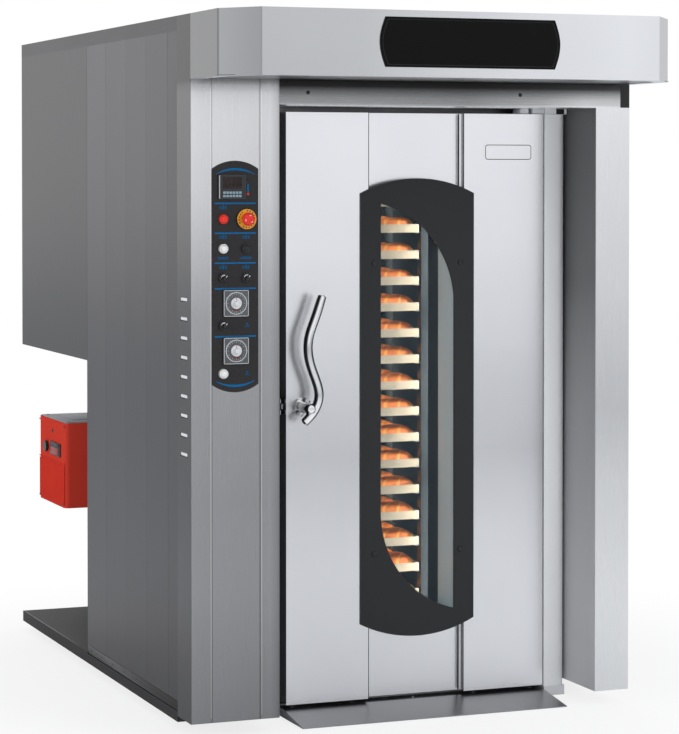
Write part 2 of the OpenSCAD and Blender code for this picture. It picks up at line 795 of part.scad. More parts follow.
module chamber_walls() {
    wall_y0 = jamb_back + sheet_gap;
    z0 = floor_top + sheet_gap;
    z1 = ceiling_z - sheet_gap;
    color("silver") placed() {
        difference() {
            block(chamber_x0 - chamber_t, chamber_x0, wall_y0, chamber_back - sheet_gap, z0, z1);
            for (i = [0 : air_slots - 1])
                block(chamber_x0 - chamber_t - cut, chamber_x0 + cut, rack_y - 120, rack_y + 120,
                      tray_z + i * air_slot_pitch, tray_z + i * air_slot_pitch + air_slot_h);
        }
        block(chamber_x1, chamber_x1 + chamber_t, wall_y0, chamber_back - sheet_gap, z0, z1);
        difference() {
            block(chamber_x0 - chamber_t, chamber_x1 + chamber_t, chamber_back, chamber_back + chamber_t,
                  z0, z1);
            for (i = [0 : return_slots - 1])
                block(rack_x - return_x, rack_x + return_x, chamber_back - cut,
                      chamber_back + chamber_t + cut,
                      return_z + i * return_pitch, return_z + i * return_pitch + air_slot_h);
        }
        difference() {
            block(chamber_x0 - chamber_t, chamber_x1 + chamber_t, jamb_y + chamber_t + sheet_gap,
                  chamber_back + chamber_t, ceiling_z, ceiling_z + chamber_t);
            z_rod(rack_x, rack_y, ceiling_z - cut, ceiling_z + chamber_t + cut, shaft_d + 2 * shaft_gap);
            z_rod(steam_x, steam_y, ceiling_z - cut, ceiling_z + chamber_t + cut, steam_d - 2 * skin_t);
        }
        difference() {
            block(chamber_x0 - chamber_t, chamber_x1 + chamber_t, wall_y0, chamber_back,
                  slab_h, floor_top);
            z_rod(rack_x, rack_y, slab_h - cut, floor_top + cut, table_pin_d + 4);
        }
        block(opening_x0 + sheet_gap, opening_x1 - sheet_gap, slab_front, jamb_back, slab_h, floor_top);
    }
}

module insulation_boards() {
    board_gap = 0.5;
    left_x0 = panel_depth + board_gap;
    right_x1 = body_w - panel_depth - board_gap;
    y0 = jamb_y + chamber_t + board_gap;
    color("khaki") placed() {
        block(left_x0, chamber_x0 - 100, y0, lower_depth - skin_t - board_gap,
              panel_foot + board_gap, roof_z - board_gap);
        block(chamber_x1 + chamber_t + board_gap, right_x1, y0, chamber_back,
              panel_foot + board_gap, roof_z - board_gap);
        difference() {
            block(chamber_x0, chamber_x1, y0, chamber_back, ceiling_z + chamber_t + board_gap,
                  roof_z - board_gap);
            z_rod(rack_x, rack_y, ceiling_z, roof_z, shaft_d + 2 * shaft_gap);
            z_rod(steam_x, steam_y, ceiling_z, roof_z, steam_d + 2);
        }
    }
}

module pivot_blocks() {
    x0 = post_x0 + 3;
    x1 = right_x - post_gap - 3;
    y0 = door_recess + 2;
    y1 = hinge_y + post_d / 2 - 2;
    color("whitesmoke") placed() {
        block(x0, x1, y0, y1, 0, lower_pivot_h);
        z_rod(hinge_x, hinge_y, lower_pivot_h - cut, lower_pivot_h + pivot_l, pivot_d);
        block(x0, x1, y0, y1, door_top + sheet_gap, lintel_z);
        z_rod(hinge_x, hinge_y, door_top - pivot_l, door_top + cut, pivot_d);
    }
}

// Hole positions of the round switches: left and right column, from the top row down
function switch_holes() = [
    [left_column_x, stop_z], [right_column_x, stop_z],
    [left_column_x, button_z], [right_column_x, button_z],
    [left_column_x, selector_z], [right_column_x, selector_z],
    [left_column_x, selector_3_z], [left_column_x, bell_z]];

hole_gap = 0.3;
window_cut = 8;

module control_panel() {
    color("#2e2a2b") placed() difference() {
        upright(-panel_t, 0)
            translate([panel_x + panel_w / 2, panel_z]) arched(panel_w, panel_side_h, panel_rise);
        for (p = switch_holes())
            y_rod(p[0], -panel_t - cut, cut, p[1], barrel_d + 2 * hole_gap, small_fn);
        for (z = [timer_1_z, timer_2_z])
            block(timer_x - timer_w / 2 + window_cut, timer_x + timer_w / 2 - window_cut,
                  -panel_t - cut, cut, z - timer_w / 2 + window_cut, z + timer_w / 2 - window_cut);
        block(controller_x - controller_w / 2 + window_cut, controller_x + controller_w / 2 - window_cut,
              -panel_t - cut, cut, controller_z - controller_h / 2 + window_cut,
              controller_z + controller_h / 2 - window_cut);
    }
}

// A square instrument: front frame on the panel and body behind it
module instrument(x, z, w, h) {
    block(x - w / 2, x + w / 2, -panel_t - 6, -panel_t, z - h / 2, z + h / 2);
    block(x - w / 2 + window_cut + hole_gap, x + w / 2 - window_cut - hole_gap, -panel_t - cut,
          instrument_l, z - h / 2 + window_cut + hole_gap, z + h / 2 - window_cut - hole_gap);
}

knob_stem_d = 8;

module panel_instruments() {
    color("#1d1d20") placed() {
        instrument(controller_x, controller_z, controller_w, controller_h);
        for (z = [timer_1_z, timer_2_z])
            difference() {
                instrument(timer_x, z, timer_w, timer_w);
                y_rod(timer_x, -panel_t - 6 - cut, 20, z, knob_stem_d + 2 * run_fit, small_fn);
            }
    }
}

module switch_bezels() {
    color("silver") placed()
        for (p = switch_holes())
            difference() {
                union() {
                    y_rod(p[0], -panel_t - bezel_h, -panel_t, p[1], bezel_d);
                    y_rod(p[0], -panel_t - cut, barrel_l, p[1], barrel_d);
                }
                y_rod(p[0], -panel_t - bezel_h - cut, barrel_l - 2, p[1], button_d - 4 + 2 * plunger_gap);
                y_rod(p[0], -panel_t - bezel_h - cut, -panel_t + 6, p[1], button_d + 2 * plunger_gap);
            }
}

module stop_disc() {
    y1 = -panel_t - bezel_h - 0.2;
    color("gold") placed() difference() {
        y_rod(right_column_x, y1 - 2, y1, stop_z, stop_disc_d);
        y_rod(right_column_x, y1 - 2 - cut, y1 + cut, stop_z, button_d + 2 * plunger_gap + 2);
    }
}

// A push button's plunger: a domed cap that slides in its bezel, and the rod behind it
module button(x, z) {
    front = -panel_t - plunger_front;
    back = -panel_t + 6 - button_travel - 0.5;
    difference() {
        union() {
            y_rod(x, front + 2, back, z, button_d);
            y_rod(x, back - cut, barrel_l - 2 - button_travel - 2, z, button_d - 4);
            translate([x, front + 2, z]) rotate([90, 0, 0])
                cylinder(h = 2, d1 = button_d, d2 = button_d - 4, $fn = round_fn);
        }
    }
}

module start_button() { color("red") placed() button(left_column_x, stop_z); }
module light_button() { color("white") placed() button(left_column_x, button_z); }
module steam_button() { color("black") placed() button(right_column_x, button_z); }
module bell_button() { color("white") placed() button(left_column_x, bell_z); }

stop_head_h = 14;

module stop_head() {
    front = -panel_t - bezel_h - 2 - 12 - stop_travel;
    color("red") placed() {
        translate([right_column_x, front, stop_z]) rotate([-90, 0, 0])
            rotate_extrude($fn = round_fn)
                polygon([[0, -stop_head_h / 2], [stop_head_d / 2 - 7, -stop_head_h / 2],
                         [stop_head_d / 2 - 2, -stop_head_h / 2 + 3], [stop_head_d / 2, 0],
                         [stop_head_d / 2 - 1, stop_head_h / 2], [0, stop_head_h / 2]]);
        y_rod(right_column_x, front, barrel_l - 2 - stop_travel - 2, stop_z, button_d - 4);
    }
}

// A selector's round base with a raised grip bar
module selector(x, z) {
    base_front = -panel_t - bezel_h - 4;
    y_rod(x, base_front, -panel_t + 5, z, button_d);
    y_rod(x, -panel_t + 4, barrel_l - 4, z, button_d - 4);
    block(x - button_d * 0.17, x + button_d * 0.17, base_front - 12, base_front + cut,
          z - button_d / 2 + 1, z + button_d / 2 - 1);
}

module selector_1() { color("#202022") placed() selector(left_column_x, selector_z); }
module selector_2() { color("#202022") placed() selector(right_column_x, selector_z); }
module selector_3() { color("#202022") placed() selector(left_column_x, selector_3_z); }

module timer_knob(z) {
    y0 = -panel_t - 6 - sheet_gap;
    difference() {
        y_rod(timer_x, y0 - 14, y0, z, timer_knob_d);
        block(timer_x - 1, timer_x + 1, y0 - 14 - cut, y0 - 12, z, z + timer_knob_d / 2 + cut);
    }
    y_rod(timer_x, y0 - cut, 18, z, knob_stem_d, small_fn);
}

module timer_knob_1() { color("lightgray") placed() timer_knob(timer_1_z); }
module timer_knob_2() { color("lightgray") placed() timer_knob(timer_2_z); }

riser_d = 200;
saddle_t = 20;

module latch_keeper() {
    color("#3a3b3d") placed() difference() {
        block(keeper_x1 - keeper_w, keeper_x1, jamb_y - keeper_depth, jamb_y,
              handle_z - keeper_h / 2, handle_z + keeper_h / 2);
        block(keeper_x1 - keeper_w / 2 - 3, keeper_x1 + cut, latch_y - latch_w / 2 - 3,
              latch_y + latch_w / 2 + 3, handle_z - latch_h / 2 - 3, handle_z + latch_h / 2 + 3);
    }
}

module combustion_chamber() {
    color("sienna") placed() difference() {
        x_rod(furnace_x0, furnace_x1, furnace_y, burner_z, furnace_d);
        x_rod(furnace_x0 - cut, furnace_x1 + cut, furnace_y, burner_z, furnace_d - 2 * furnace_t);
        z_rod(riser_x, furnace_y, burner_z, burner_z + furnace_d, riser_d - 2 * furnace_t);
    }
}

module furnace_ends() {
    color("sienna") placed() {
        difference() {
            x_rod(furnace_x0 - furnace_t, furnace_x0, furnace_y, burner_z, furnace_d);
            x_rod(furnace_x0 - furnace_t - cut, furnace_x0 + cut, furnace_y, burner_z, blast_d + 2);
        }
        x_rod(furnace_x1, furnace_x1 + furnace_t, furnace_y, burner_z, furnace_d);
    }
}

// The riser to the heat exchanger and the saddles on the deck
module furnace_fittings() {
    half = furnace_d * 0.35;
    color("sienna") placed() difference() {
        union() {
            difference() {
                z_rod(riser_x, furnace_y, burner_z, header_z, riser_d);
                z_rod(riser_x, furnace_y, burner_z - cut, header_z + cut, riser_d - 2 * furnace_t);
            }
            for (x = [furnace_x0 + 180, furnace_x1 - 180])
                block(x, x + saddle_t, furnace_y - half, furnace_y + half, deck_top, burner_z - half);
        }
        x_rod(furnace_x0, furnace_x1, furnace_y, burner_z, furnace_d + 2 * sheet_gap);
    }
}

module tube_places() {
    for (i = [0 : tube_rows - 1], j = [-1 : 1])
        translate([exchanger_x + (i + 0.5) * tube_pitch, furnace_y + j * tube_pitch, 0]) children();
}

// A header's four walls, and its two sheets with the holes of tubes, riser and flue
module exchanger_headers() {
    x1 = exchanger_x + header_w;
    y0 = furnace_y - 1.5 * tube_pitch;
    y1 = furnace_y + 1.5 * tube_pitch;
    t = furnace_t;
    g = furnace_t + sheet_gap;
    color("peru") placed() {
        for (z = [header_z, upper_header_z]) {
            for (y = [y0, y1 - t])
                block(exchanger_x, x1, y, y + t, z, z + header_h);
            for (x = [exchanger_x, x1 - t])
                block(x, x + t, y0 + g, y1 - g, z, z + header_h);
        }
        difference() {
            for (z = [header_z, header_z + header_h - t, upper_header_z, upper_header_z + header_h - t])
                block(exchanger_x + g, x1 - g, y0 + g, y1 - g, z, z + t);
            tube_places() translate([0, 0, header_z + header_h - t - cut])
                cylinder(h = tube_h + 2 * t + 2 * cut, d = tube_d - 2 * t, $fn = small_fn);
            z_rod(riser_x, furnace_y, header_z - cut, header_z + header_h / 2, riser_d - 2 * t);
            z_rod(flue_x, flue_y, upper_header_z + header_h / 2, upper_header_z + header_h + cut,
                  flue_pipe_d - 2 * t);
        }
    }
}

module exchanger_tubes() {
    color("peru") placed() tube_places() translate([0, 0, header_z + header_h]) difference() {
        cylinder(h = tube_h, d = tube_d, $fn = small_fn);
        translate([0, 0, -cut]) cylinder(h = tube_h + 2 * cut, d = tube_d - 2 * furnace_t, $fn = small_fn);
    }
}

module flue_pipe() {
    z0 = upper_header_z + header_h;
    color("peru") placed() difference() {
        z_rod(flue_x, flue_y, z0, roof_z + skin_t, flue_pipe_d);
        z_rod(flue_x, flue_y, z0 - cut, roof_z + skin_t + cut, flue_pipe_d - 2 * furnace_t);
    }
}

module fan_impeller() {
    y1 = fan_y + fan_w;
    color("lightsteelblue") placed() {
        y_rod(rack_x, y1, y1 + 4, fan_z, fan_d);
        y_rod(rack_x, fan_y, y1 + cut, fan_z, 70);
        difference() {
            y_rod(rack_x, fan_y, fan_y + 4, fan_z, fan_d);
            y_rod(rack_x, fan_y - cut, fan_y + 4 + cut, fan_z, fan_d * 0.7);
        }
        for (i = [0 : fan_blades - 1])
            translate([rack_x, 0, fan_z]) rotate([0, i * 360 / fan_blades, 0])
                block(fan_d * 0.36, fan_d / 2 - 4, fan_y + 3, y1 + 1, -2, 2);
        y_rod(rack_x, y1, y1 + 140, fan_z, fan_shaft_d);
    }
}

module fan_motor() {
    y0 = fan_y + fan_w + 60;
    color("steelblue") placed() {
        difference() {
            y_rod(rack_x, y0, y0 + fan_motor_l, fan_z, fan_motor_d);
            y_rod(rack_x, y0 - cut, y0 + 90, fan_z, fan_shaft_d + 2 * run_fit);
        }
        block(rack_x - 30, rack_x + 30, y0 + 30, y0 + fan_motor_l - 30, fan_z + fan_motor_d * 0.45,
              roof_z - sheet_gap);
    }
}

module steam_generator() {
    bar_pitch = 100;
    y0 = chamber_back + chamber_t + sheet_gap;
    color("#5a4a44") placed() {
        for (x = [rack_x - steam_w / 2, rack_x + steam_w / 2 - steam_end_t])
            block(x, x + steam_end_t, y0, y0 + 30, 300, 300 + steam_bars * bar_pitch);
        for (i = [0 : steam_bars - 1])
            block(rack_x + (steam_end_t - steam_w) / 2, rack_x + (steam_w - steam_end_t) / 2, y0 + 2,
                  y0 + 26, 330 + i * bar_pitch, 370 + i * bar_pitch);
    }
}

burner_wall = 3;
burner_round = 18;
gas_d = 20;
gas_drop = 90;

module burner_outline(d) {
    x0 = burner_x + d;
    x1 = burner_x + burner_w - d;
    y0 = burner_y0 + d;
    y1 = burner_y1 - d;
    r = burner_round - d;
    translate([x0 + r, y0]) square([x1 - x0 - r, y1 - y0]);
    translate([x0, y0 + r]) square([x1 - x0, y1 - y0 - 2 * r]);
    for (y = [y0 + r, y1 - r])
        translate([x0 + r, y]) circle(r = r, $fn = round_fn);
}

// The housing's wall, its cover plate, and its floor with the air intake
module burner() {
    x1 = burner_x + burner_w;
    color("firebrick") placed() {
        difference() {
            translate([0, 0, burner_z0]) linear_extrude(height = burner_h) difference() {
                burner_outline(0);
                burner_outline(burner_wall);
            }
            x_rod(x1 - burner_wall - cut, x1 + cut, furnace_y, burner_z, blast_d + 2 * sheet_gap);
            x_rod(burner_x - cut, burner_x + burner_wall + cut, reset_y, reset_z, 12 + 2 * plunger_gap);
            y_rod(x1 - 60, burner_y1 - burner_wall - cut, burner_y1 + cut, gas_z,
                  gas_d + 14 + 2 * sheet_gap);
        }
        translate([0, 0, burner_z0 + burner_h - burner_wall]) linear_extrude(height = burner_wall)
            burner_outline(burner_wall + sheet_gap);
        difference() {
            translate([0, 0, burner_z0]) linear_extrude(height = burner_wall)
                burner_outline(burner_wall + sheet_gap);
            z_rod(burner_x + burner_w / 2, (burner_y0 + burner_y1) / 2, burner_z0 - cut,
                  burner_z0 + burner_wall + cut, burner_air_d);
        }
    }
}

module burner_flange() {
    x1 = burner_x + burner_w;
    color("dimgray") placed() difference() {
        union() {
            x_rod(x1 - 20, bay_w + skin_t + 60, furnace_y, burner_z, blast_d);
            block(x1, bay_w, furnace_y - 100, furnace_y + 100, burner_z - 100, burner_z + 100);
        }
        x_rod(x1 - 21, bay_w + skin_t + 61, furnace_y, burner_z, blast_d - 8);
    }
}

module gas_stub() {
    x = burner_x + burner_w - 60;
    color("goldenrod") placed() difference() {
        union() {
            y_rod(x, burner_y1 - burner_wall, burner_y1 + 30, gas_z, gas_d + 14);
            y_rod(x, burner_y1, burner_y1 + 5, gas_z, gas_d + 26);
        }
        y_rod(x, burner_y1 - burner_wall - cut, burner_y1 + 31, gas_z, gas_d);
    }
}

module burner_reset() {
    color("black") placed() {
        x_rod(burner_x - 12, burner_x - 5, reset_y, reset_z, reset_d);
        x_rod(burner_x - 6, burner_x + 22, reset_y, reset_z, 12, small_fn);
    }
}

module roof_collars() {
    z0 = roof_z + skin_t;
    color("silver") placed()
        for (c = [[flue_x, flue_y, flue_d], [steam_x, steam_y, steam_d]])
            difference() {
                union() {
                    z_rod(c[0], c[1], z0, z0 + collar_h, c[2]);
                    z_rod(c[0], c[1], z0, z0 + 4, c[2] + 50);
                }
                z_rod(c[0], c[1], z0 - cut, z0 + collar_h + cut, c[2] - 2 * skin_t);
            }
}

module gearmotor() {
    z0 = roof_z + skin_t;
    motor_z = z0 + gear_axis_h;
    color("seagreen") placed() {
        difference() {
            union() {
                block(rack_x - 90, rack_x + 90, rack_y - 80, rack_y + 80, z0 + 10, z0 + 130);
                for (y = [rack_y - 105, rack_y + 75])
                    block(rack_x - 90, rack_x + 90, y, y + 30, z0, z0 + 20);
            }
            z_rod(rack_x, rack_y, z0, z0 + 130 + cut, shaft_d + 2 * run_fit);
        }
        x_rod(rack_x + 89, rack_x + 310, rack_y, motor_z, 130);
        block(rack_x + 150, rack_x + 240, rack_y - 45, rack_y + 45, motor_z + 50, motor_z + 85);
    }
}

// The leaf's body: raised left and right parts with the lower channel between them, drawn in by d
module leaf_solid(d, y_back) {
    z0 = door_foot + d;
    z1 = door_top - d;
    block(leaf_x0 + d, channel_x0 - d, door_recess + d, y_back, z0, z1);
    block(channel_x1 + d, leaf_x1 - d, door_recess + d, y_back, z0, z1);
    block(channel_x0 - 2 * d, channel_x1 + 2 * d, channel_y + d, y_back, z0, z1);
}

module tunnel_hole(y0, y1) {
    g = tunnel_gap + door_skin_t;
    block(tunnel_x0 - g, tunnel_x1 + g, y0, y1, tunnel_z0 - g, tunnel_z1 + g);
}

module raised_plate() {
    x1 = leaf_x1 - plate_x;
    r = 8;
    z = door_top - plate_drop;
    upright(door_recess - plate_relief, door_recess + cut) {
        translate([x1 - plate_w, z - plate_h / 2 + r]) square([plate_w, plate_h - 2 * r]);
        translate([x1 - plate_w + r, z - plate_h / 2]) square([plate_w - 2 * r, plate_h]);
        for (x = [x1 - plate_w + r, x1 - r], y = [z - plate_h / 2 + r, z + plate_h / 2 - r])
            translate([x, y]) circle(r = r, $fn = small_fn);
    }
}

pivot_x = leaf_x0 + handle_x;
sleeve_d = spindle_d + 12;

module door_skin() {
    color("gainsboro") placed() {
        difference() {
            leaf_solid(0, inner_skin_y);
            leaf_solid(door_skin_t, inner_skin_y + cut);
            tunnel_hole(channel_y - cut, inner_skin_y + cut);
            y_rod(pivot_x, door_recess - cut, door_recess + door_skin_t + cut, handle_z,
                  sleeve_d + 2 * hole_gap);
            block(leaf_x0 - cut, leaf_x0 + door_skin_t + cut, latch_y - latch_w / 2 - latch_gap,
                  latch_y + latch_w / 2 + latch_gap, handle_z - latch_h / 2 - latch_gap,
                  handle_z + latch_h / 2 + latch_gap);
        }
        raised_plate();
    }
}

module door_inner_panel() {
    color("silver") placed() difference() {
        block(leaf_x0, leaf_x1, inner_skin_y, leaf_back, door_foot, door_top);
        tunnel_hole(inner_skin_y - cut, leaf_back + cut);
    }
}

case_w = 110;
case_h = 130;

module door_insulation() {
    g = door_skin_t + 0.5;
    z0 = door_foot + g;
    z1 = door_top - g;
    y1 = inner_skin_y - 0.5;
    t = tunnel_gap + door_skin_t + 1;
    color("khaki") placed() {
        difference() {
            block(leaf_x0 + g, channel_x0 - g, door_recess + g, y1, z0, z1);
            block(leaf_x0, leaf_x0 + case_w, door_recess, y1 + cut, handle_z - case_h / 2,
                  handle_z + case_h / 2);
        }
        block(channel_x1 + g, leaf_x1 - g, door_recess + g, y1, z0, z1);
        block(channel_x0 + 1, channel_x1 - 1, channel_y + g, y1, z0, tunnel_z0 - t);
        block(channel_x0 + 1, channel_x1 - 1, channel_y + g, y1, tunnel_z1 + t, z1);
    }
}

module door_seal() {
    x0 = leaf_x0 + seal_inset;
    x1 = leaf_x1 - seal_inset;
    z0 = door_foot + seal_inset;
    z1 = door_top - seal_inset;
    y1 = jamb_y - sheet_gap;
    wiper_y = leaf_back - 30;
    color("#26262a") placed() {
        block(x0, x0 + seal_w, leaf_back, y1, z0, z1);
        block(x1 - seal_w, x1, leaf_back, y1, z0, z1);
        block(x0 + seal_w + sheet_gap, x1 - seal_w - sheet_gap, leaf_back, y1, z1 - seal_w, z1);
        block(x0, x1, wiper_y, wiper_y + 8, slab_h + 2, door_foot);
    }
}

module window_opening() {
    intersection() {
        translate([open_x0, open_z0]) square([opening_w, open_h]);
        union() {
            translate([open_x1 - opening_r, open_z0 + opening_side_h]) circle(r = opening_r, $fn = 128);
            translate([open_x0 - cut, open_z0 - cut]) square([opening_w + 2 * cut, opening_side_h + cut]);
        }
        union() {
            translate([open_x0 + opening_r, open_z0 + open_arc_h]) circle(r = opening_r, $fn = 128);
            translate([open_x0 - cut, open_z0 + open_arc_h]) square([opening_w + 2 * cut, opening_side_h + cut]);
        }
    }
}

function bolt_places() = [for (sx = [-1, 1], sz = [-1, 1])
    [window_x + sx * bolt_spacing_x / 2, window_mid_z + sz * bolt_spacing_z / 2]];

module window_plate() {
    color("#3c3c3f") placed() difference() {
        upright(door_recess - window_t, door_recess) difference() {
            translate([window_x, window_z0]) arched(window_w, window_side_h, window_rise);
            window_opening();
        }
        for (p = bolt_places())
            y_rod(p[0], door_recess - window_t - cut, door_recess + cut, p[1], bolt_d + 2 * hole_gap,
                  small_fn);
    }
}

module window_bolts() {
    head_h = 5;
    color("#2a2a2c") placed()
        for (p = bolt_places()) {
            y_rod(p[0], door_recess - window_t - head_h, channel_y, p[1], bolt_d, small_fn);
            translate([p[0], door_recess - window_t, p[1]]) rotate([90, 0, 0])
                cylinder(h = head_h, d1 = bolt_head_d, d2 = bolt_head_d - 5, $fn = small_fn);
        }
}

module window_glass() {
    g = tunnel_gap;
    color([0.6, 0.8, 0.85, 0.4]) placed() {
        block(tunnel_x0, tunnel_x1, door_recess, outer_glass_y, tunnel_z0, tunnel_z1);
        block(tunnel_x0 - flange_w + rim_w + g, tunnel_x1 + flange_w - rim_w - g,
              tunnel_end, tunnel_end + glass_t,
              tunnel_z0 - flange_w + rim_w + g, tunnel_z1 + flange_w - rim_w - g);
    }
}

module window_tunnel() {
    t = door_skin_t;
    color("lightsteelblue") placed() difference() {
        union() {
            block(tunnel_x0 - t, tunnel_x1 + t, outer_glass_y + sheet_gap, tunnel_end,
                  tunnel_z0 - t, tunnel_z1 + t);
            block(tunnel_x0 - flange_w, tunnel_x1 + flange_w, tunnel_end - flange_t,
                  tunnel_end + glass_t + 2, tunnel_z0 - flange_w, tunnel_z1 + flange_w);
        }
        block(tunnel_x0, tunnel_x1, outer_glass_y - cut, tunnel_end + cut, tunnel_z0, tunnel_z1);
        block(tunnel_x0 - flange_w + rim_w, tunnel_x1 + flange_w - rim_w, tunnel_end,
              tunnel_end + glass_t + 2 + cut, tunnel_z0 - flange_w + rim_w, tunnel_z1 + flange_w - rim_w);
    }
}

module hinge_post() {
    color("gainsboro") placed() difference() {
        union() {
            z_rod(hinge_x, hinge_y, lower_pivot_h + sheet_gap, door_top, post_d, 64);
            block(post_x0, hinge_x, door_recess, door_recess + post_d, lower_pivot_h + sheet_gap, door_top);
            block(leaf_x1, post_x0 + cut, door_recess + hinge_strip_set_back, door_recess + post_d - 4,
                  door_foot, door_top);
        }
        z_rod(hinge_x, hinge_y, lower_pivot_h - cut, lower_pivot_h + pivot_l + 2, pivot_d + 2 * run_fit);
        z_rod(hinge_x, hinge_y, door_top - pivot_l - 2, door_top + cut, pivot_d + 2 * run_fit);
    }
}

// Smooth curve through points: position at u between p[i] and p[i + 1]
function smooth_at(p, i, u) =
    let (n = len(p), a = p[max(i - 1, 0)], b = p[i], c = p[min(i + 1, n - 1)], d = p[min(i + 2, n - 1)])
    0.5 * ((2 * b) + (c - a) * u + (2 * a - 5 * b + 4 * c - d) * u * u + (3 * b - a - 3 * c + d) * u * u * u);

function smooth_line(p, steps) = concat(
    [for (i = [0 : len(p) - 2], k = [0 : steps - 1]) smooth_at(p, i, k / steps)], [p[len(p) - 1]]);

// A round bar swept along a flat curve in X and Z, closed at both ends
module swept_bar(line, d, sides) {
    n = len(line);
    points = [for (i = [0 : n - 1])
        let (t = line[min(i + 1, n - 1)] - line[max(i - 1, 0)], l = norm(t), nx = -t[1] / l, nz = t[0] / l,
             r = d / 2 * (i == 0 || i == n - 1 ? 0.7 : 1))
        for (k = [0 : sides - 1])
            let (a = 360 * k / sides)
            [line[i][0] + r * cos(a) * nx, r * sin(a), line[i][1] + r * cos(a) * nz]];
    faces = concat(
        [[for (k = [sides - 1 : -1 : 0]) k]],
        [[for (k = [0 : sides - 1]) (n - 1) * sides + k]],
        [for (i = [0 : n - 2], k = [0 : sides - 1])
            let (a = i * sides + k, b = i * sides + (k + 1) % sides)
            [a, b, b + sides, a + sides]]);
    polyhedron(points = points, faces = faces, convexity = 4);
}

case_y0 = latch_y - latch_w / 2 - 8;
case_y1 = latch_y + latch_w / 2 + 8;
spindle_end = case_y1 - 2;

module handle_lever() {
    bar_y = door_recess - bar_reach;
    color("silver") placed() {
        translate([pivot_x, bar_y, handle_z]) swept_bar(smooth_line(bar_path, bar_steps), bar_d, bar_sides);
        y_rod(pivot_x, bar_y - 4, door_recess - rose_t - sheet_gap, handle_z, hub_d);
        block(pivot_x, pivot_x + 30, bar_y - 9, bar_y + 9, handle_z - 12, handle_z + 14);
        y_rod(pivot_x, bar_y, latch_y - latch_w / 2 - 2, handle_z, spindle_d);
    }
}

module latch_housing() {
    x1 = leaf_x0 + case_w - 6;
    color("silver") placed() difference() {
        union() {
            y_rod(pivot_x, door_recess - rose_t, door_recess, handle_z, rose_d, 64);
            y_rod(pivot_x, door_recess - cut, case_y0 + cut, handle_z, sleeve_d);
            block(leaf_x0 + door_skin_t + sheet_gap, x1, case_y0, case_y1, handle_z - 30, handle_z + 30);
        }
        y_rod(pivot_x, door_recess - rose_t - cut, latch_y, handle_z, spindle_d + 2 * run_fit);
        block(leaf_x0 - cut, x1 - 4, latch_y - latch_w / 2 - latch_gap, latch_y + latch_w / 2 + latch_gap,
              handle_z - latch_h / 2 - latch_gap, handle_z + latch_h / 2 + latch_gap);
    }
}

module latch_bolt() {
    color("lightgray") placed()
        block(leaf_x0 - latch_out, leaf_x0 + 62, latch_y - latch_w / 2, latch_y + latch_w / 2,
              handle_z - latch_h / 2, handle_z + latch_h / 2);
}

module rack_shaft() {
    color("silver") placed() {
        z_rod(rack_x, rack_y, rack_top + carrier_h - cut, gear_top, shaft_d);
        z_rod(rack_x, rack_y, rack_top + carrier_h - cut, rack_top + carrier_h + 20, 90);
        block(rack_x - 25, rack_x + 25, rack_y - post_half_y - 12, rack_y + post_half_y + 12,
              rack_top, rack_top + carrier_h);
        for (k = [-1, 1])
            block(rack_x - 25, rack_x + 25, rack_y + k * (post_half_y + 8) - 4,
                  rack_y + k * (post_half_y + 8) + 4, rack_top - 30, rack_top + cut);
    }
}

module turntable() {
    color("gray") placed() {
        z_rod(rack_x, rack_y, table_z, table_top, table_d, 96);
        z_rod(rack_x, rack_y, floor_top + sheet_gap, table_z + cut, 120);
        z_rod(rack_x, rack_y, 7, table_z + cut, table_pin_d);
    }
}

module rack_frame() {
    g = sheet_gap;
    color("silver") placed() translate([rack_x, rack_y, 0]) {
        for (kx = [-1, 1]) {
            px = kx > 0 ? post_half_x : -post_half_x - post_sq;
            for (ky = [-1, 1]) {
                py = ky > 0 ? post_half_y - post_sq : -post_half_y;
                block(px, px + post_sq, py, py + post_sq, rack_foot, rack_top);
            }
            for (z = [rack_foot, rack_top - post_sq])
                block(px, px + post_sq, -post_half_y + post_sq + g, post_half_y - post_sq - g, z, z + post_sq);
            lx = kx > 0 ? post_half_x - ledge_w : -post_half_x + g;
            for (i = [0 : tray_count - 1])
                block(lx, lx + ledge_w - g, -post_half_y, post_half_y, tray_z + i * tray_pitch - 3,
                      tray_z + i * tray_pitch);
        }
        for (ky = [-1, 1]) {
            py = ky > 0 ? post_half_y - post_sq : -post_half_y;
            for (z = [rack_foot, rack_top - post_sq])
                block(-post_half_x + g, post_half_x - g, py, py + post_sq, z, z + post_sq);
        }
    }
}

module rack_trays() {
    color("dimgray") placed() translate([rack_x, rack_y, 0])
        for (i = [0 : tray_count - 1])
            translate([0, 0, tray_z + i * tray_pitch]) difference() {
                block(-tray_w / 2, tray_w / 2, -tray_l / 2, tray_l / 2, 0, tray_h);
                block(-tray_w / 2 + tray_t, tray_w / 2 - tray_t, -tray_l / 2 + tray_t,
                      tray_l / 2 - tray_t, tray_t, tray_h + cut);
            }
}

// One loaf: a half spindle lying along X, flat underneath
module loaf() {
    core = loaf_l * 0.3;
    difference() {
        union() {
            x_rod(-core, core, 0, 0, 2 * loaf_r);
            for (k = [0, 1])
                mirror([k, 0, 0]) translate([core - 0.01, 0, 0]) rotate([0, 90, 0])
                    cylinder(h = loaf_l * 0.2, r1 = loaf_r, r2 = loaf_r * 0.45, $fn = round_fn);
        }
        block(-loaf_l, loaf_l, -2 * loaf_r, 2 * loaf_r, -2 * loaf_r, 0);
    }
}

module bread_loaves() {
    row = (tray_l - 2 * tray_t) / loaf_rows;
    color("sandybrown") placed() translate([rack_x, rack_y, 0])
        for (i = [0 : tray_count - 1], kx = [-1, 1], j = [0 : loaf_rows - 1])
            translate([kx * tray_w / 4, (j - (loaf_rows - 1) / 2) * row, tray_z + i * tray_pitch + tray_t])
                loaf();
}

function caster_places() = [for (sx = [-1, 1], sy = [-1, 1])
    [rack_x + sx * caster_x, rack_y + sy * caster_y, sx, sy]];

axle_d = 10;

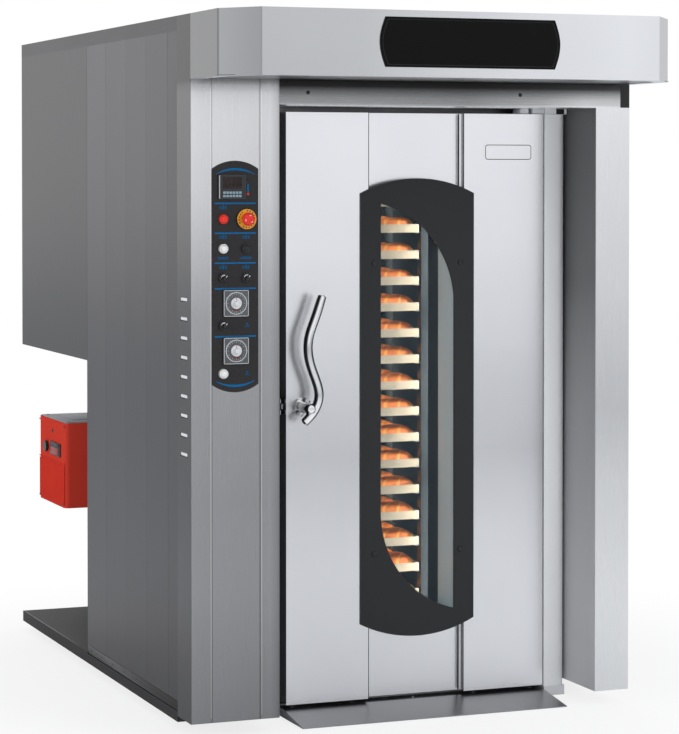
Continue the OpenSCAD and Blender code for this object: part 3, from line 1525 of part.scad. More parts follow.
module caster_forks() {
    cheek = wheel_w / 2 + 1.5;
    plate_z = table_top + wheel_d + 4;
    color("lightgray") placed()
        for (p = caster_places()) {
            for (k = [-1, 1])
                block(p[0] + k * (cheek + 1.5) - 1.5, p[0] + k * (cheek + 1.5) + 1.5, p[1] - 14, p[1] + 14,
                      wheel_z - 14, plate_z + 1);
            block(p[0] - cheek - 3, p[0] + cheek + 3, p[1] - 20, p[1] + 20, plate_z, plate_z + 3);
            translate([p[0] + p[2] * 8, p[1] + p[3] * 8, rack_foot - 2]) cube([76, 76, 4], center = true);
            z_rod(p[0], p[1], plate_z, rack_foot, 26, small_fn);
            x_rod(p[0] - cheek - 3, p[0] + cheek + 3, p[1], wheel_z, axle_d, small_fn);
        }
}

module caster_wheels() {
    color("#303030") placed()
        for (p = caster_places())
            difference() {
                x_rod(p[0] - wheel_w / 2, p[0] + wheel_w / 2, p[1], wheel_z, wheel_d);
                x_rod(p[0] - wheel_w / 2 - cut, p[0] + wheel_w / 2 + cut, p[1], wheel_z, axle_d + 2 * run_fit);
            }
}

base_frame();
levelling_feet();
floor_slab();
entry_ramp();
left_column();
right_column();
lintel();
canopy_shell();
badge_plate();
side_panels_left();
side_panels_right();
top_trim_rails();
roof_plate();
rear_casing_panels();
door_jambs();
latch_keeper();
chamber_walls();
insulation_boards();
pivot_blocks();
control_panel();
panel_instruments();
switch_bezels();
stop_disc();
combustion_chamber();
furnace_ends();
furnace_fittings();
exchanger_headers();
exchanger_tubes();
flue_pipe();
fan_motor();
steam_generator();
burner();
burner_flange();
gas_stub();
roof_collars();
gearmotor();
door_skin();
door_inner_panel();
door_insulation();
door_seal();
window_plate();
window_glass();
window_tunnel();
window_bolts();
hinge_post();
handle_lever();
latch_housing();
latch_bolt();
stop_head();
start_button();
light_button();
steam_button();
bell_button();
selector_1();
selector_2();
selector_3();
timer_knob_1();
timer_knob_2();
fan_impeller();
rack_shaft();
turntable();
rack_frame();
rack_trays();
bread_loaves();
caster_forks();
caster_wheels();
burner_reset();
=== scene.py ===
import math

import bmesh
import bpy
from mathutils import Matrix, Vector


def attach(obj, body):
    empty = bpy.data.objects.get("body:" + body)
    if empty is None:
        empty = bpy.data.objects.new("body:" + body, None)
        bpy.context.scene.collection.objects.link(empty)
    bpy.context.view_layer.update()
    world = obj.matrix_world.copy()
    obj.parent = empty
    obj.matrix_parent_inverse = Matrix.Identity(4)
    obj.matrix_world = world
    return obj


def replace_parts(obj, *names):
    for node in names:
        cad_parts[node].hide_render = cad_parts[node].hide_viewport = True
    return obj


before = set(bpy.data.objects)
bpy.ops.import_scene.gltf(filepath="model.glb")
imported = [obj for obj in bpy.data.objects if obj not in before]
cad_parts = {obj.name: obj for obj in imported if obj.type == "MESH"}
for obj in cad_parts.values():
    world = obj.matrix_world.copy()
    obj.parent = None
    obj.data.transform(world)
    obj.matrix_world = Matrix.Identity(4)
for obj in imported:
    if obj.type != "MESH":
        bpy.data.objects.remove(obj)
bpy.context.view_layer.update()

# ---- Studio
# A white sweep with a pale floor, one broad soft lamp on the right of the camera, a weaker one on its
# left and one overhead. Steel mirrors a room that is bright in front and behind, and dimmer between.


def oven(x, y, z):
    """A place given in millimetres from the cabinet's front left foot: right, back and up."""
    return Vector(((x - 730.0) / 1000.0, (y - 818.0) / 1000.0, z / 1000.0))


def node_tree(owner):
    """The emptied node tree of a material or a world, as the function that adds nodes to it."""
    owner.use_nodes = True
    tree = owner.node_tree
    tree.nodes.clear()

    def add(kind, inputs=(), **settings):
        """Adds a node; each input is given its value, or the socket that feeds it."""
        node = tree.nodes.new("ShaderNode" + kind)
        for key, value in settings.items():
            setattr(node, key, value)
        for key, value in dict(inputs).items():
            if isinstance(value, bpy.types.NodeSocket):
                tree.links.new(value, node.inputs[key])
            else:
                node.inputs[key].default_value = value
        return node

    return add


def grade(ramp, stops):
    """Sets a colour ramp to stops of (place, colour)."""
    elements = ramp.color_ramp.elements
    elements.remove(elements[1])
    elements[0].position = stops[0][0]
    elements[0].color = (*stops[0][1], 1.0)
    for place, colour in stops[1:]:
        elements.new(place).color = (*colour, 1.0)


def ranged(add, value, low, high, start=0.0, end=1.0, **settings):
    """A value between start and end, as one between low and high."""
    inputs = {"Value": value, "From Min": start, "From Max": end, "To Min": low, "To Max": high}
    return add("MapRange", inputs, **settings).outputs["Result"]


room = bpy.data.worlds.new("studio_room")
bpy.context.scene.world = room
add = node_tree(room)
ray = add("LightPath")
towards = add("SeparateXYZ", {0: add("TexCoord").outputs["Generated"]}).outputs["Y"]
walls = add("ValToRGB", {"Fac": ranged(add, towards, 0.0, 1.0, -1.0, 1.0)})
grade(walls, [(place, (grey, grey * 1.01, grey * 1.03)) for place, grey in
              ((0.0, 0.99), (0.28, 0.38), (0.46, 0.50), (0.70, 0.34))] + [(1.0, (1.0, 1.0, 1.0))])
mirrored = add("Background", {"Color": walls.outputs["Color"]})
glow = add("Background", {"Color": (0.93, 0.96, 1.0, 1.0), "Strength": 0.62})
backdrop = add("Background", {"Color": (1.0, 1.0, 1.0, 1.0)})
lit = add("MixShader", {0: ray.outputs["Is Glossy Ray"], 1: glow.outputs[0], 2: mirrored.outputs[0]})
seen = add("MixShader", {0: ray.outputs["Is Camera Ray"], 1: lit.outputs[0], 2: backdrop.outputs[0]})
add("OutputWorld", {"Surface": seen.outputs[0]})

floor_paint = bpy.data.materials.new("pale_floor")
add = node_tree(floor_paint)
body = add("BsdfPrincipled", {"Base Color": (0.86, 0.87, 0.88, 1.0), "Roughness": 0.7})
away = add("VectorMath", {0: add("TexCoord").outputs["Object"]}, operation="LENGTH").outputs["Value"]
fade = ranged(add, away, 0.80, 1.0, 1.0, 2.4, interpolation_type="SMOOTHSTEP")
shown = add("Math", {0: fade, 1: add("LightPath").outputs["Is Camera Ray"]}, operation="MULTIPLY")
paint = add("MixShader", {0: shown.outputs[0], 1: body.outputs[0], 2: add("Emission").outputs[0]})
add("OutputMaterial", {"Surface": paint.outputs[0]})

shape = bmesh.new()
bmesh.ops.create_grid(shape, x_segments=4, y_segments=4, size=30.0)
mesh = bpy.data.meshes.new("floor")
shape.to_mesh(mesh)
shape.free()
mesh.materials.append(floor_paint)
floor = bpy.data.objects.new("floor", mesh)
floor.location.z = -0.001
bpy.context.scene.collection.objects.link(floor)


def softbox(name, place, target, size, power):
    """A round soft lamp at a place, turned to a target."""
    lamp = bpy.data.lights.new(name, "AREA")
    lamp.shape = "DISK"
    lamp.size = size
    lamp.energy = power
    holder = bpy.data.objects.new(name, lamp)
    holder.location = place
    holder.rotation_euler = (Vector(target) - Vector(place)).to_track_quat("-Z", "Y").to_euler()
    holder.visible_glossy = False
    bpy.context.scene.collection.objects.link(holder)


softbox("key_lamp", (3.6, -5.6, 4.6), (0.0, 0.0, 1.0), 5.5, 210.0)
softbox("left_lamp", (-6.5, -3.0, 3.2), (0.0, 0.2, 1.0), 3.0, 110.0)
softbox("top_lamp", (0.0, 1.5, 6.0), (0.0, 0.4, 0.0), 3.5, 120.0)

camera = bpy.data.cameras.new("camera")
camera.lens = 124.7
camera.sensor_width = 36.0
camera.shift_y = -0.187
camera.clip_end = 100.0
eye = bpy.data.objects.new("camera", camera)
eye.location = (-3.064, -7.990, 1.685)
eye.rotation_euler = (math.radians(90.0 - 1.26), 0.0, math.radians(-21.38))
bpy.context.scene.collection.objects.link(eye)
bpy.context.scene.camera = eye
bpy.context.scene.view_settings.view_transform = "Standard"

# ---- Base frame and feet
# Folded stainless rails carry the rear deck; a dark folded rim runs along the foot of the left side.
# The rails are screwed to the cabinet, and four zinc-plated screw feet level the rear.


def new_material(name):
    """A new material, the function that adds its nodes, and the place on the object to paint by."""
    made = bpy.data.materials.new(name)
    add = node_tree(made)
    return made, add, add("TexCoord").outputs["Object"]


def finished(made, add, inputs):
    """Closes a material with its surface."""
    add("OutputMaterial", {"Surface": add("BsdfPrincipled", inputs).outputs[0]})
    return made


def noise(add, where, scale, detail=2.0, **inputs):
    """The grey of a cloud texture."""
    return add("TexNoise", {"Vector": where, "Scale": scale, "Detail": detail, **inputs}).outputs["Fac"]


def bump(add, height, strength, distance):
    """A normal raised by a height."""
    return add("Bump", {"Height": height, "Strength": strength, "Distance": distance}).outputs[0]


def blend(add, factor, low, high, **settings):
    """A mix of two colours, each a value or a socket."""
    inputs = {"Factor": factor, "A": low, "B": high}
    return add("Mix", inputs, data_type="RGBA", **settings).outputs["Result"]


def shade(colour, factor, lift=0.0):
    """A colour made lighter or darker, with its alpha."""
    return [min(1.0, part * factor + lift) for part in colour] + [1.0]


def toned(add, colour, tones, front_only=False):
    """Multiplies a colour by grey ramps; each is an axis and stops of (millimetres along it, factor). The
    ramps give dark joints and, on most parts, painted light and shade.
    """
    origin = {"X": 730.0, "Y": 818.0, "Z": 0.0}
    where = add("TexCoord")
    split = add("SeparateXYZ", {0: where.outputs["Object"]})
    amount = 1.0
    if front_only:
        facing = add("SeparateXYZ", {0: where.outputs["Normal"]}).outputs["Y"]
        amount = add("Math", {0: facing, 1: -1.0}, operation="MULTIPLY", use_clamp=True).outputs[0]
    for axis, stops in tones:
        low, high = stops[0][0] - 1.0, stops[-1][0] + 1.0
        along = ranged(add, split.outputs[axis], 0.0, 1.0, (low - origin[axis]) / 1000.0,
                       (high - origin[axis]) / 1000.0)
        ramp = add("ValToRGB", {"Fac": along})
        grade(ramp, [((place - low) / (high - low), (factor, factor, factor)) for place, factor in stops])
        colour = blend(add, amount, colour, ramp.outputs["Color"], blend_type="MULTIPLY")
    return colour


def steel(name, colour, roughness=0.28, grain="Z", metallic=1.0, cloud=0.03, scratch=0.03, tones=(),
          front_only=False):
    """Brushed sheet: scratches along the grain, slow clouding of the tone, uneven polish."""
    made, add, where = new_material(name)
    stretch = add("Mapping", {"Vector": where, "Scale": [6.0 if axis == grain else 700.0 for axis in "XYZ"]})
    lines = add("TexNoise", {"Vector": stretch.outputs[0], "Scale": 1.0, "Detail": 3.0})
    clouds = ranged(add, noise(add, where, 1.7), 0.0, 1.0, 0.3, 0.7)
    sheet = blend(add, clouds, shade(colour, 1.0 - cloud), shade(colour, 1.0 + cloud))
    hair = blend(add, scratch, sheet, lines.outputs["Color"], blend_type="MULTIPLY")
    polish = ranged(add, lines.outputs["Fac"], roughness - 0.02, roughness + 0.02, 0.3, 0.7)
    return finished(made, add, {
        "Metallic": metallic, "Base Color": toned(add, hair, tones, front_only), "Roughness": polish,
        "Normal": bump(add, lines.outputs["Fac"], 0.006, 0.0004)})


def dress(node, finish):
    """Puts a finish on a carried-over solid."""
    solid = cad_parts[node]
    if not solid.material_slots:
        solid.data.materials.append(finish)
    for slot in solid.material_slots:
        slot.material = finish


def piece(name, shape, finish, body, crease=35.0):
    """Turns a bmesh into a piece that rides on a body; edges sharper than crease stay sharp."""
    mesh = bpy.data.meshes.new(name)
    shape.to_mesh(mesh)
    shape.free()
    mesh.polygons.foreach_set("use_smooth", [True] * len(mesh.polygons))
    mesh.set_sharp_from_angle(angle=math.radians(crease))
    mesh.materials.append(finish)
    made = bpy.data.objects.new(name, mesh)
    bpy.context.scene.collection.objects.link(made)
    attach(made, body)
    return made


def plank(shape, low, high, bevel=0.0, segments=2):
    """Adds a box between two corners in oven millimetres, with its edges rounded."""
    low, high = oven(*low), oven(*high)
    size = high - low
    place = Matrix.Translation((low + high) / 2.0) @ Matrix.Diagonal((*size, 1.0))
    corners = bmesh.ops.create_cube(shape, size=1.0, matrix=place)["verts"]
    if bevel:
        edges = list({edge for corner in corners for edge in corner.link_edges})
        bmesh.ops.bevel(shape, geom=edges, offset=bevel / 1000.0, offset_type="OFFSET", affect="EDGES",
                        segments=segments, profile=0.5, material=-1, clamp_overlap=True)


def planks(name, boxes, finish, body="cabinet"):
    """Makes a piece of boxes, each a low corner, a high corner and perhaps a bevel and its segments."""
    shape = bmesh.new()
    for box in boxes:
        plank(shape, *box)
    return piece(name, shape, finish, body)


def turned(shape, outline, foot, direction, steps=32):
    """Adds a turned form: an outline of (radius, height) millimetres spun about an axis at foot."""
    part = bmesh.new()
    points = [part.verts.new((radius / 1000.0, 0.0, height / 1000.0)) for radius, height in outline]
    edges = [part.edges.new(pair) for pair in zip(points, points[1:])]
    bmesh.ops.spin(part, geom=points + edges, cent=(0, 0, 0), axis=(0, 0, 1), angle=math.tau,
                   steps=steps, use_merge=True)
    bmesh.ops.remove_doubles(part, verts=part.verts, dist=1e-6)
    bmesh.ops.recalc_face_normals(part, faces=part.faces)
    turn = Vector(direction).to_track_quat("Z", "Y").to_matrix().to_4x4()
    part.transform(Matrix.Translation(oven(*foot)) @ turn)
    mesh = bpy.data.meshes.new("part")
    part.to_mesh(mesh)
    part.free()
    shape.from_mesh(mesh)
    bpy.data.meshes.remove(mesh)


def screw(shape, place, direction, radius=5.0, height=2.6):
    """Adds a domed screw head with a socket."""
    turned(shape, [(0.0, height * 0.35), (radius * 0.32, height * 0.35), (radius * 0.38, height),
                   (radius * 0.72, height * 0.86), (radius * 0.95, height * 0.45), (radius, 0.0)],
           place, direction, steps=16)


# The base steel has a near-black tone; its X ramp paints shade: a darker left face, and darker further in
# from the left edge, under the burner and the cabinet.
dress("base_frame", steel(
    "base_steel_painted_shade", (0.050, 0.048, 0.050), roughness=0.6, grain="Y", metallic=0.4, cloud=0.16,
    tones=[("X", [(0, 0.42), (3, 0.42), (6, 1.0), (60, 0.9), (256, 0.45), (1460, 0.5)])]))
zinc = steel("bright_zinc", (0.55, 0.56, 0.58), roughness=0.3, grain="X", cloud=0.2)
dress("levelling_feet", zinc)
dress("caster_forks", zinc)
dress("floor_slab", steel("dull_slab_steel", (0.34, 0.35, 0.36), roughness=0.42, grain="X", cloud=0.2))

shape = bmesh.new()
plank(shape, (1.0, 133.0, 62.0), (7.6, 1128.0, 90.0), bevel=1.2)
plank(shape, (0.6, 1131.0, 60.5), (4.0, 2008.0, 66.0), bevel=1.0)
for y in range(180, 1100, 130):
    screw(shape, (1.2, y, 76.0), (-1, 0, 0), radius=3.5, height=1.0)
piece("base_rim", shape, steel("rim_steel", (0.045, 0.043, 0.043), grain="Y"), "cabinet")

# ---- Floor, walls and ceiling of the chamber
# Stainless sheets, seamed at the corners and turned straw and blue by heat. Air enters by level slots
# in the left wall and leaves by a grille high in the rear wall; boards of mineral wool lie outside.
# The X ramp paints the walls almost black, all but the right wall beside the lamps: painted shade inside the
# closed chamber.
dress("chamber_walls", steel("heat_tint_and_painted_shade_steel", (0.30, 0.35, 0.38), roughness=0.35, cloud=0.25,
                             tones=[("X", [(330, 0.03), (1100, 0.03), (1127, 0.72), (1135, 0.80)])]))
dress("door_inner_panel", steel("inner_skin_steel", (0.50, 0.51, 0.54), roughness=0.25, cloud=0.15))


def pressed_wool(name, colour):
    """Mineral fibre board: matted fibres, uneven tone."""
    made, add, where = new_material(name)
    fibres = noise(add, where, 160.0, 6.0, Distortion=1.5)
    ramp = add("ValToRGB", {"Fac": fibres})
    grade(ramp, [(0.0, [part * 0.55 for part in colour]), (1.0, [part * 1.15 for part in colour])])
    return finished(made, add, {"Roughness": 0.95, "Base Color": ramp.outputs["Color"],
                                "Normal": bump(add, fibres, 0.7, 0.002)})


wool = pressed_wool("mineral_wool", (0.62, 0.56, 0.36))
dress("insulation_boards", wool)
dress("door_insulation", wool)

shape = bmesh.new()
for x in (331.5, 1128.5):
    for z in range(120, 1850, 160):
        screw(shape, (x, 1140.0, z), (1 if x < 700 else -1, 0, 0), radius=5.0)
for x in range(400, 1100, 120):
    screw(shape, (x, 1159.6, 1860.0), (0, -1, 0), radius=5.0)
    screw(shape, (x, 1159.6, 60.0), (0, -1, 0), radius=5.0)
piece("chamber_screws", shape, zinc, "cabinet")

lamp_feet = (520.0, 1130.0, 1700.0)
planks("chamber_lamp_frames", [((x - 1.0, 352.0, 60.0), (x, 1156.0, 62.0)) for x in (1127.0, 1129.4)]
       + [((1117.0, 378.0, z), (1129.6, 398.0, z + 220.0), 2.0) for z in lamp_feet], zinc)


def lit_glass(name, colour, strength):
    """Ribbed lamp glass with the lamp's warm light behind it."""
    made, add, where = new_material(name)
    ribs = add("TexWave", {"Vector": where, "Scale": 60.0}, bands_direction="Z")
    return finished(made, add, {
        "Base Color": (*colour, 1.0), "Roughness": 0.25, "Emission Color": (*colour, 1.0),
        "Emission Strength": strength, "Normal": bump(add, ribs.outputs["Fac"], 0.5, 0.001)})


planks("chamber_lamps", [((1113.0, 382.0, z + 8.0), (1117.5, 394.0, z + 212.0), 1.5) for z in lamp_feet],
       lit_glass("warm_lamp_glass", (1.0, 0.86, 0.66), 0.8))
for k, z in enumerate((400.0, 950.0, 1500.0)):
    glow_lamp = bpy.data.lights.new(f"chamber_light_{k}", "AREA")
    glow_lamp.shape = "RECTANGLE"
    glow_lamp.size = 0.02
    glow_lamp.size_y = 0.5
    glow_lamp.energy = 5.0
    glow_lamp.color = (1.0, 0.90, 0.76)
    holder = bpy.data.objects.new(f"chamber_light_{k}", glow_lamp)
    holder.location = oven(1108.0, 372.0, z)
    aim = oven(780.0, 480.0, z) - holder.location
    holder.rotation_euler = aim.to_track_quat("-Z", "Y").to_euler()
    bpy.context.scene.collection.objects.link(holder)

# ---- Furnace, heat exchanger, steam generator and fan
# Heat-resisting steel welded and scaled by heat, cast cascade bars for steam behind the rear wall,
# and a stamped fan wheel on the shaft of a finned motor that hangs from the roof.
furnace_steel = steel("scaled_furnace_steel", (0.30, 0.24, 0.20), roughness=0.55, grain="X", metallic=0.8,
                      cloud=0.4)
for node in ("combustion_chamber", "furnace_ends", "furnace_fittings", "exchanger_headers", "exchanger_tubes",
             "flue_pipe"):
    dress(node, furnace_steel)
dress("fan_impeller", steel("stamped_fan_steel", (0.50, 0.51, 0.53), grain="Y", cloud=0.15))


def enamel(name, colour, roughness=0.35, peel=0.02, spread=0.08, metallic=0.0, coat=0.1, shine=0.35):
    """Sprayed enamel: orange-peel relief, slow change of tone, a few dull rubbed patches."""
    made, add, where = new_material(name)
    patches = noise(add, where, 9.0, 5.0)
    return finished(made, add, {
        "Metallic": metallic, "Specular IOR Level": shine, "Coat Weight": coat, "Coat Roughness": 0.12,
        "Base Color": blend(add, patches, shade(colour, 1.0 - spread), shade(colour, 1.0 + spread)),
        "Roughness": ranged(add, patches, roughness - 0.08, roughness + 0.12),
        "Normal": bump(add, noise(add, where, 420.0), peel * 10.0, 0.0004)})


dress("fan_motor", enamel("motor_enamel", (0.10, 0.17, 0.30), roughness=0.45, peel=0.05))
dress("steam_generator", enamel("raw_cast_iron", (0.12, 0.11, 0.10), roughness=0.8, peel=0.3, spread=0.3,
                                coat=0.0))

shape = bmesh.new()
for k in range(24):
    angle = math.tau * k / 24
    x, z = 730.0 + 100.0 * math.cos(angle), 1640.0 + 100.0 * math.sin(angle)
    turned(shape, [(0.0, 0.0), (2.0, 0.0), (2.0, 170.0), (0.0, 170.0)], (x, 1370.0, z), (0, 1, 0), steps=6)
piece("motor_fins", shape, enamel("fin_enamel", (0.09, 0.15, 0.27), roughness=0.5), "cabinet")

# ---- Side cassettes and rear casing
# Trays of brushed sheet hang side by side on the frame with a narrow joint between them; the rear
# casing is flat sheet with fine upright joints. A darker strip caps the sides along the roof.
side_grey = (0.138, 0.135, 0.145)
# The Z ramp below darkens the side sheets towards the floor: painted shade.
painted_shade_down_the_side = ("Z", [(90, 0.42), (400, 0.50), (900, 0.70), (1700, 0.88), (2160, 0.96)])


def seams(start, joints, end):
    """Tones along the depth: each joint shows as a dark line, with a painted highlight on the fold behind it.
    """
    stops = [(start, 0.98)]
    for place in joints:
        stops += [(place - 3.5, 0.96), (place - 0.8, 0.30), (place + 3.5, 1.22), (place + 12.0, 1.06)]
    return ("Y", stops + [(end, 0.92)])


left_joints = [224.0 + 226.5 * k for k in range(4)]
right_joints = [291.0 + 245.2 * k for k in range(1, 7)]
# The left sheets are also darker at the front, lightest at the joint at 1128 mm and darker behind it.
dress("side_panels_left", steel(
    "left_cassette_steel", side_grey, roughness=0.32,
    tones=[painted_shade_down_the_side, seams(131.0, left_joints + [1128.0], 2008.0),
           ("Y", [(131, 0.84), (450, 0.92), (1124, 1.0), (1132, 0.66), (2008, 0.62)])]))
dress("side_panels_right", steel("right_cassette_steel", side_grey, roughness=0.32,
                                 tones=[painted_shade_down_the_side, seams(291.0, right_joints, 2008.0)]))
sheet_joint = [(-1.8, 1.0), (-1.0, 0.12), (1.0, 0.12), (1.8, 1.0)]
dress("rear_casing_panels", steel(
    "rear_casing_steel", (0.50, 0.505, 0.52), roughness=0.32, cloud=0.08,
    tones=[("X", [(x + step, factor) for x in (487.0, 973.0) for step, factor in sheet_joint])]))
dress("top_trim_rails", steel("dark_trim_steel", (0.110, 0.108, 0.114), roughness=0.38, grain="Y",
                              cloud=0.06))
dress("roof_plate", steel("galvanised_roof", (0.50, 0.52, 0.54), roughness=0.4, grain="X", cloud=0.3))

shape = bmesh.new()
screw(shape, (0.6, 150.0, 2128.0), (-1, 0, 0), radius=6.0, height=0.6)
for y in (620.0, 1130.0, 1640.0, 1980.0):
    screw(shape, (0.6, y, 2126.0), (-1, 0, 0), radius=4.0, height=0.6)
for y in (350.0, 900.0, 1450.0, 1980.0):
    screw(shape, (1459.4, y, 2126.0), (1, 0, 0), radius=4.0, height=0.6)
piece("casing_screws", shape, zinc, "cabinet")

# ---- Roof: collars, gear motor and pipes
# Rolled collars are flanged to the roof plate. The gear motor that turns the rack sits over the
# chamber on two feet, with a finned motor on its side, a terminal box and a guarded shaft end.
collars = (((1130.0, 1596.5), 100.0), ((430.0, 560.0), 75.0))
dress("roof_collars", steel("rolled_collar_steel", (0.60, 0.61, 0.63), roughness=0.3, cloud=0.12))
gear_paint = enamel("gear_motor_paint", (0.16, 0.20, 0.22), roughness=0.42, peel=0.05)
dress("gearmotor", gear_paint)

shape = bmesh.new()
for k in range(28):
    angle = math.tau * k / 28
    y, z = 745.0 + 66.0 * math.cos(angle), 2060.0 + 66.0 * math.sin(angle)
    turned(shape, [(0.0, 0.0), (1.6, 0.0), (1.6, 150.0), (0.0, 150.0)], (830.0, y, z), (1, 0, 0), steps=6)
turned(shape, [(67.0, 0.0), (71.0, 3.0), (71.0, 50.0), (60.0, 58.0), (0.0, 58.0)], (984.0, 745.0, 2060.0),
       (1, 0, 0))
plank(shape, (652.0, 675.0, 2112.0), (808.0, 815.0, 2119.0), bevel=3.0)
piece("gear_motor_fins", shape, gear_paint, "cabinet")
shape = bmesh.new()
for x in (660.0, 800.0):
    for y in (648.0, 842.0):
        screw(shape, (x, y, 2004.0), (0, 0, 1), radius=9.0, height=6.0)
for x in (665.0, 795.0):
    for y in (688.0, 802.0):
        screw(shape, (x, y, 2119.0), (0, 0, 1), radius=6.0, height=4.0)
for (x, y), radius in collars:
    reach = radius + 15.0
    for k in range(8):
        angle = math.tau * (k + 0.5) / 8
        screw(shape, (x + reach * math.cos(angle), y + reach * math.sin(angle), 1989.0), (0, 0, 1),
              radius=5.0, height=3.0)
piece("roof_bolts", shape, zinc, "cabinet")

shape = bmesh.new()
for (x, y), radius in collars:
    turned(shape, [(radius - 0.4, 0.0), (radius + 2.4, 2.0), (radius + 3.0, 6.0), (radius + 2.4, 10.0),
                   (radius - 0.4, 12.0)], (x, y, 2114.0), (0, 0, 1), steps=48)
piece("collar_beads", shape, steel("bead_steel", (0.62, 0.63, 0.65)), "cabinet")

# ---- Columns, reveal, jambs and lintel
# Folded stainless casings: the left column has two shallow grooves down its front and louvres in its
# side; the jambs round the door opening are sheet that the door's seal closes on, enamelled near black
# as painted shade in the gap beside the door.
# The ramps paint light and shade on the left column: darker towards the floor, a painted shadow under the
# canopy, the left side face dark, painted shade in both grooves and towards the door.
dress("left_column", steel(
    "left_column_steel", (0.86, 0.855, 0.87), roughness=0.26,
    tones=[("Z", [(40, 0.34), (700, 0.38), (1250, 0.54), (1600, 0.86), (1925, 1.0), (1948, 0.80),
                  (1962, 0.42)]),
           ("X", [(0, 0.19), (0.6, 0.19), (1.4, 1.0), (62, 0.96), (64.5, 0.70), (67.0, 0.74), (69.0, 1.0),
                  (214, 0.96), (216.5, 0.60), (219, 0.66), (221.5, 0.96), (250, 1.0), (272, 0.82),
                  (280, 0.62)])]))
# The Z ramp paints shade on the right column: darker below about 1.3 m.
dress("right_column", steel(
    "right_column_steel", (0.97, 0.97, 0.99), roughness=0.26,
    tones=[("Z", [(40, 0.80), (500, 0.72), (950, 0.68), (1300, 0.84), (1900, 0.98)])]))
# Painted shadow of the canopy darkens the lintel's front towards its top; the X ramp paints it darker on the
# left and lighter to the right.
dress("lintel", steel(
    "lintel_steel", (0.97, 0.97, 0.99), roughness=0.26, grain="X", front_only=True,
    tones=[("Z", [(1893, 1.0), (1896.5, 0.96), (1899.5, 0.78), (1915, 0.68), (1937, 0.32), (1950, 0.07),
                  (1966, 0.05)]),
           ("X", [(0, 0.56), (300, 0.52), (900, 0.45), (1150, 0.70), (1300, 1.0), (1460, 0.96)])]))
# The jambs and the latch keeper are near black as painted shade in the gap beside the door.
dress("door_jambs", enamel("jamb_painted_shade_enamel", (0.045, 0.046, 0.050), roughness=0.5))
dress("latch_keeper", enamel("keeper_painted_shade_enamel", (0.045, 0.046, 0.050), roughness=0.5))
dress("pivot_blocks", enamel("pale_pivot_enamel", (0.86, 0.86, 0.87), roughness=0.35))

shape = bmesh.new()
for x in (372.0, 1078.0):
    screw(shape, (x, -0.2, 1930.0), (0, -1, 0), radius=6.0, height=2.0)
piece("lintel_screws", shape, enamel("blackened_screw", (0.02, 0.02, 0.022), roughness=0.4), "cabinet")

planks("louvre_blades", [((0.3, 35.0, z), (9.0, 98.0, z + 11.0), 2.6, 3)
                         for z in [840.4 + 58.0 * row for row in range(9)]],
       enamel("louvre_highlight", (0.80, 0.80, 0.82), roughness=0.3))

# A thin sheet over the right column's inner face carries painted shade, darker towards the top.
planks("column_inner_sheet", [((1340.8, 2.0, 47.0), (1341.9, 288.0, 1892.5))],
       steel("column_inner_steel", (0.74, 0.74, 0.755), roughness=0.45, metallic=0.5,
             tones=[("Z", [(46, 0.85), (500, 0.72), (950, 0.52), (1350, 0.24), (1893, 0.18)])]))
# A black sheet over the lintel's right end is painted shade.
planks("lintel_end_shade", [((1428.0, -0.6, 1894.0), (1459.5, 0.2, 1964.0))],
       enamel("lintel_end_shade_black", (0.012, 0.012, 0.012), roughness=0.5))
# A grey sheet at the back of the recess over the door carries painted shade, darker towards the right.
planks("head_strip", [((300.0, 289.6, 1878.0), (1170.0, 290.8, 1892.0))],
       steel("head_strip_steel", (0.55, 0.54, 0.54), metallic=0.2, grain="X",
             tones=[("X", [(300, 0.7), (500, 0.28), (1170, 0.10)])]))
planks("fold_edges", [((x, -0.4, 60.0), (x + 3.2, 0.1, 1965.0)) for x in (61.0, 221.0)],
       steel("fold_highlight", (0.99, 0.99, 0.99), roughness=0.2,
             tones=[("Z", [(60, 0.42), (700, 0.50), (1250, 0.74), (1930, 0.88), (1960, 0.4)])]))

planks("door_head_blocks", [((1176.0, 205.0, 1877.2), (1206.0, 262.0, 1892.6), 1.5),
                            ((1330.0, 199.6, 1877.2), (1339.0, 255.0, 1892.6), 1.0),
                            ((1219.0, 203.0, 1877.2), (1261.0, 255.0, 1892.6), 1.0)],
       enamel("white_nylon", (0.78, 0.79, 0.80), roughness=0.45, coat=0.0))
# A black plate in front of the upper pivot block is painted shade in the gap there.
planks("door_head_gap", [((1301.0, 198.4, 1876.9), (1328.5, 199.8, 1892.6))],
       enamel("head_gap_black", (0.01, 0.01, 0.01), roughness=0.6))

shape = bmesh.new()
for z in (150.0, 560.0, 1000.0, 1430.0, 1840.0):
    screw(shape, (278.2, 216.0, z), (1, 0, 0), radius=4.5, height=1.2)
piece("reveal_screws", shape, zinc, "cabinet")

shape = bmesh.new()
plank(shape, (364.0, 224.2, 938.0), (367.0, 290.0, 951.0), bevel=0.8)
plank(shape, (364.0, 224.2, 973.0), (367.0, 290.0, 986.0), bevel=0.8)
for z in (944.5, 979.5):
    screw(shape, (367.0, 275.0, z), (1, 0, 0), radius=3.5, height=1.6)
piece("keeper_plate", shape, zinc, "cabinet")

# ---- Canopy and badge plate
# A folded stainless hood with cut corners. Its lower edge is turned in as a lip, and a lining sheet
# closes it above. A glossy plate with bulging ends is glued on the front and stays bare.
# The X ramp paints light and shade on the hood: its left end dark, the cut corner darker, the front lighter
# towards the right.
dress("canopy_shell", steel(
    "canopy_steel", (0.95, 0.96, 0.99), roughness=0.24, grain="X",
    tones=[("X", [(0, 0.15), (0.6, 0.15), (1.4, 0.84), (92, 0.72), (96, 0.60), (400, 0.64), (900, 0.88),
                  (1250, 1.0), (1460, 0.97)])]))

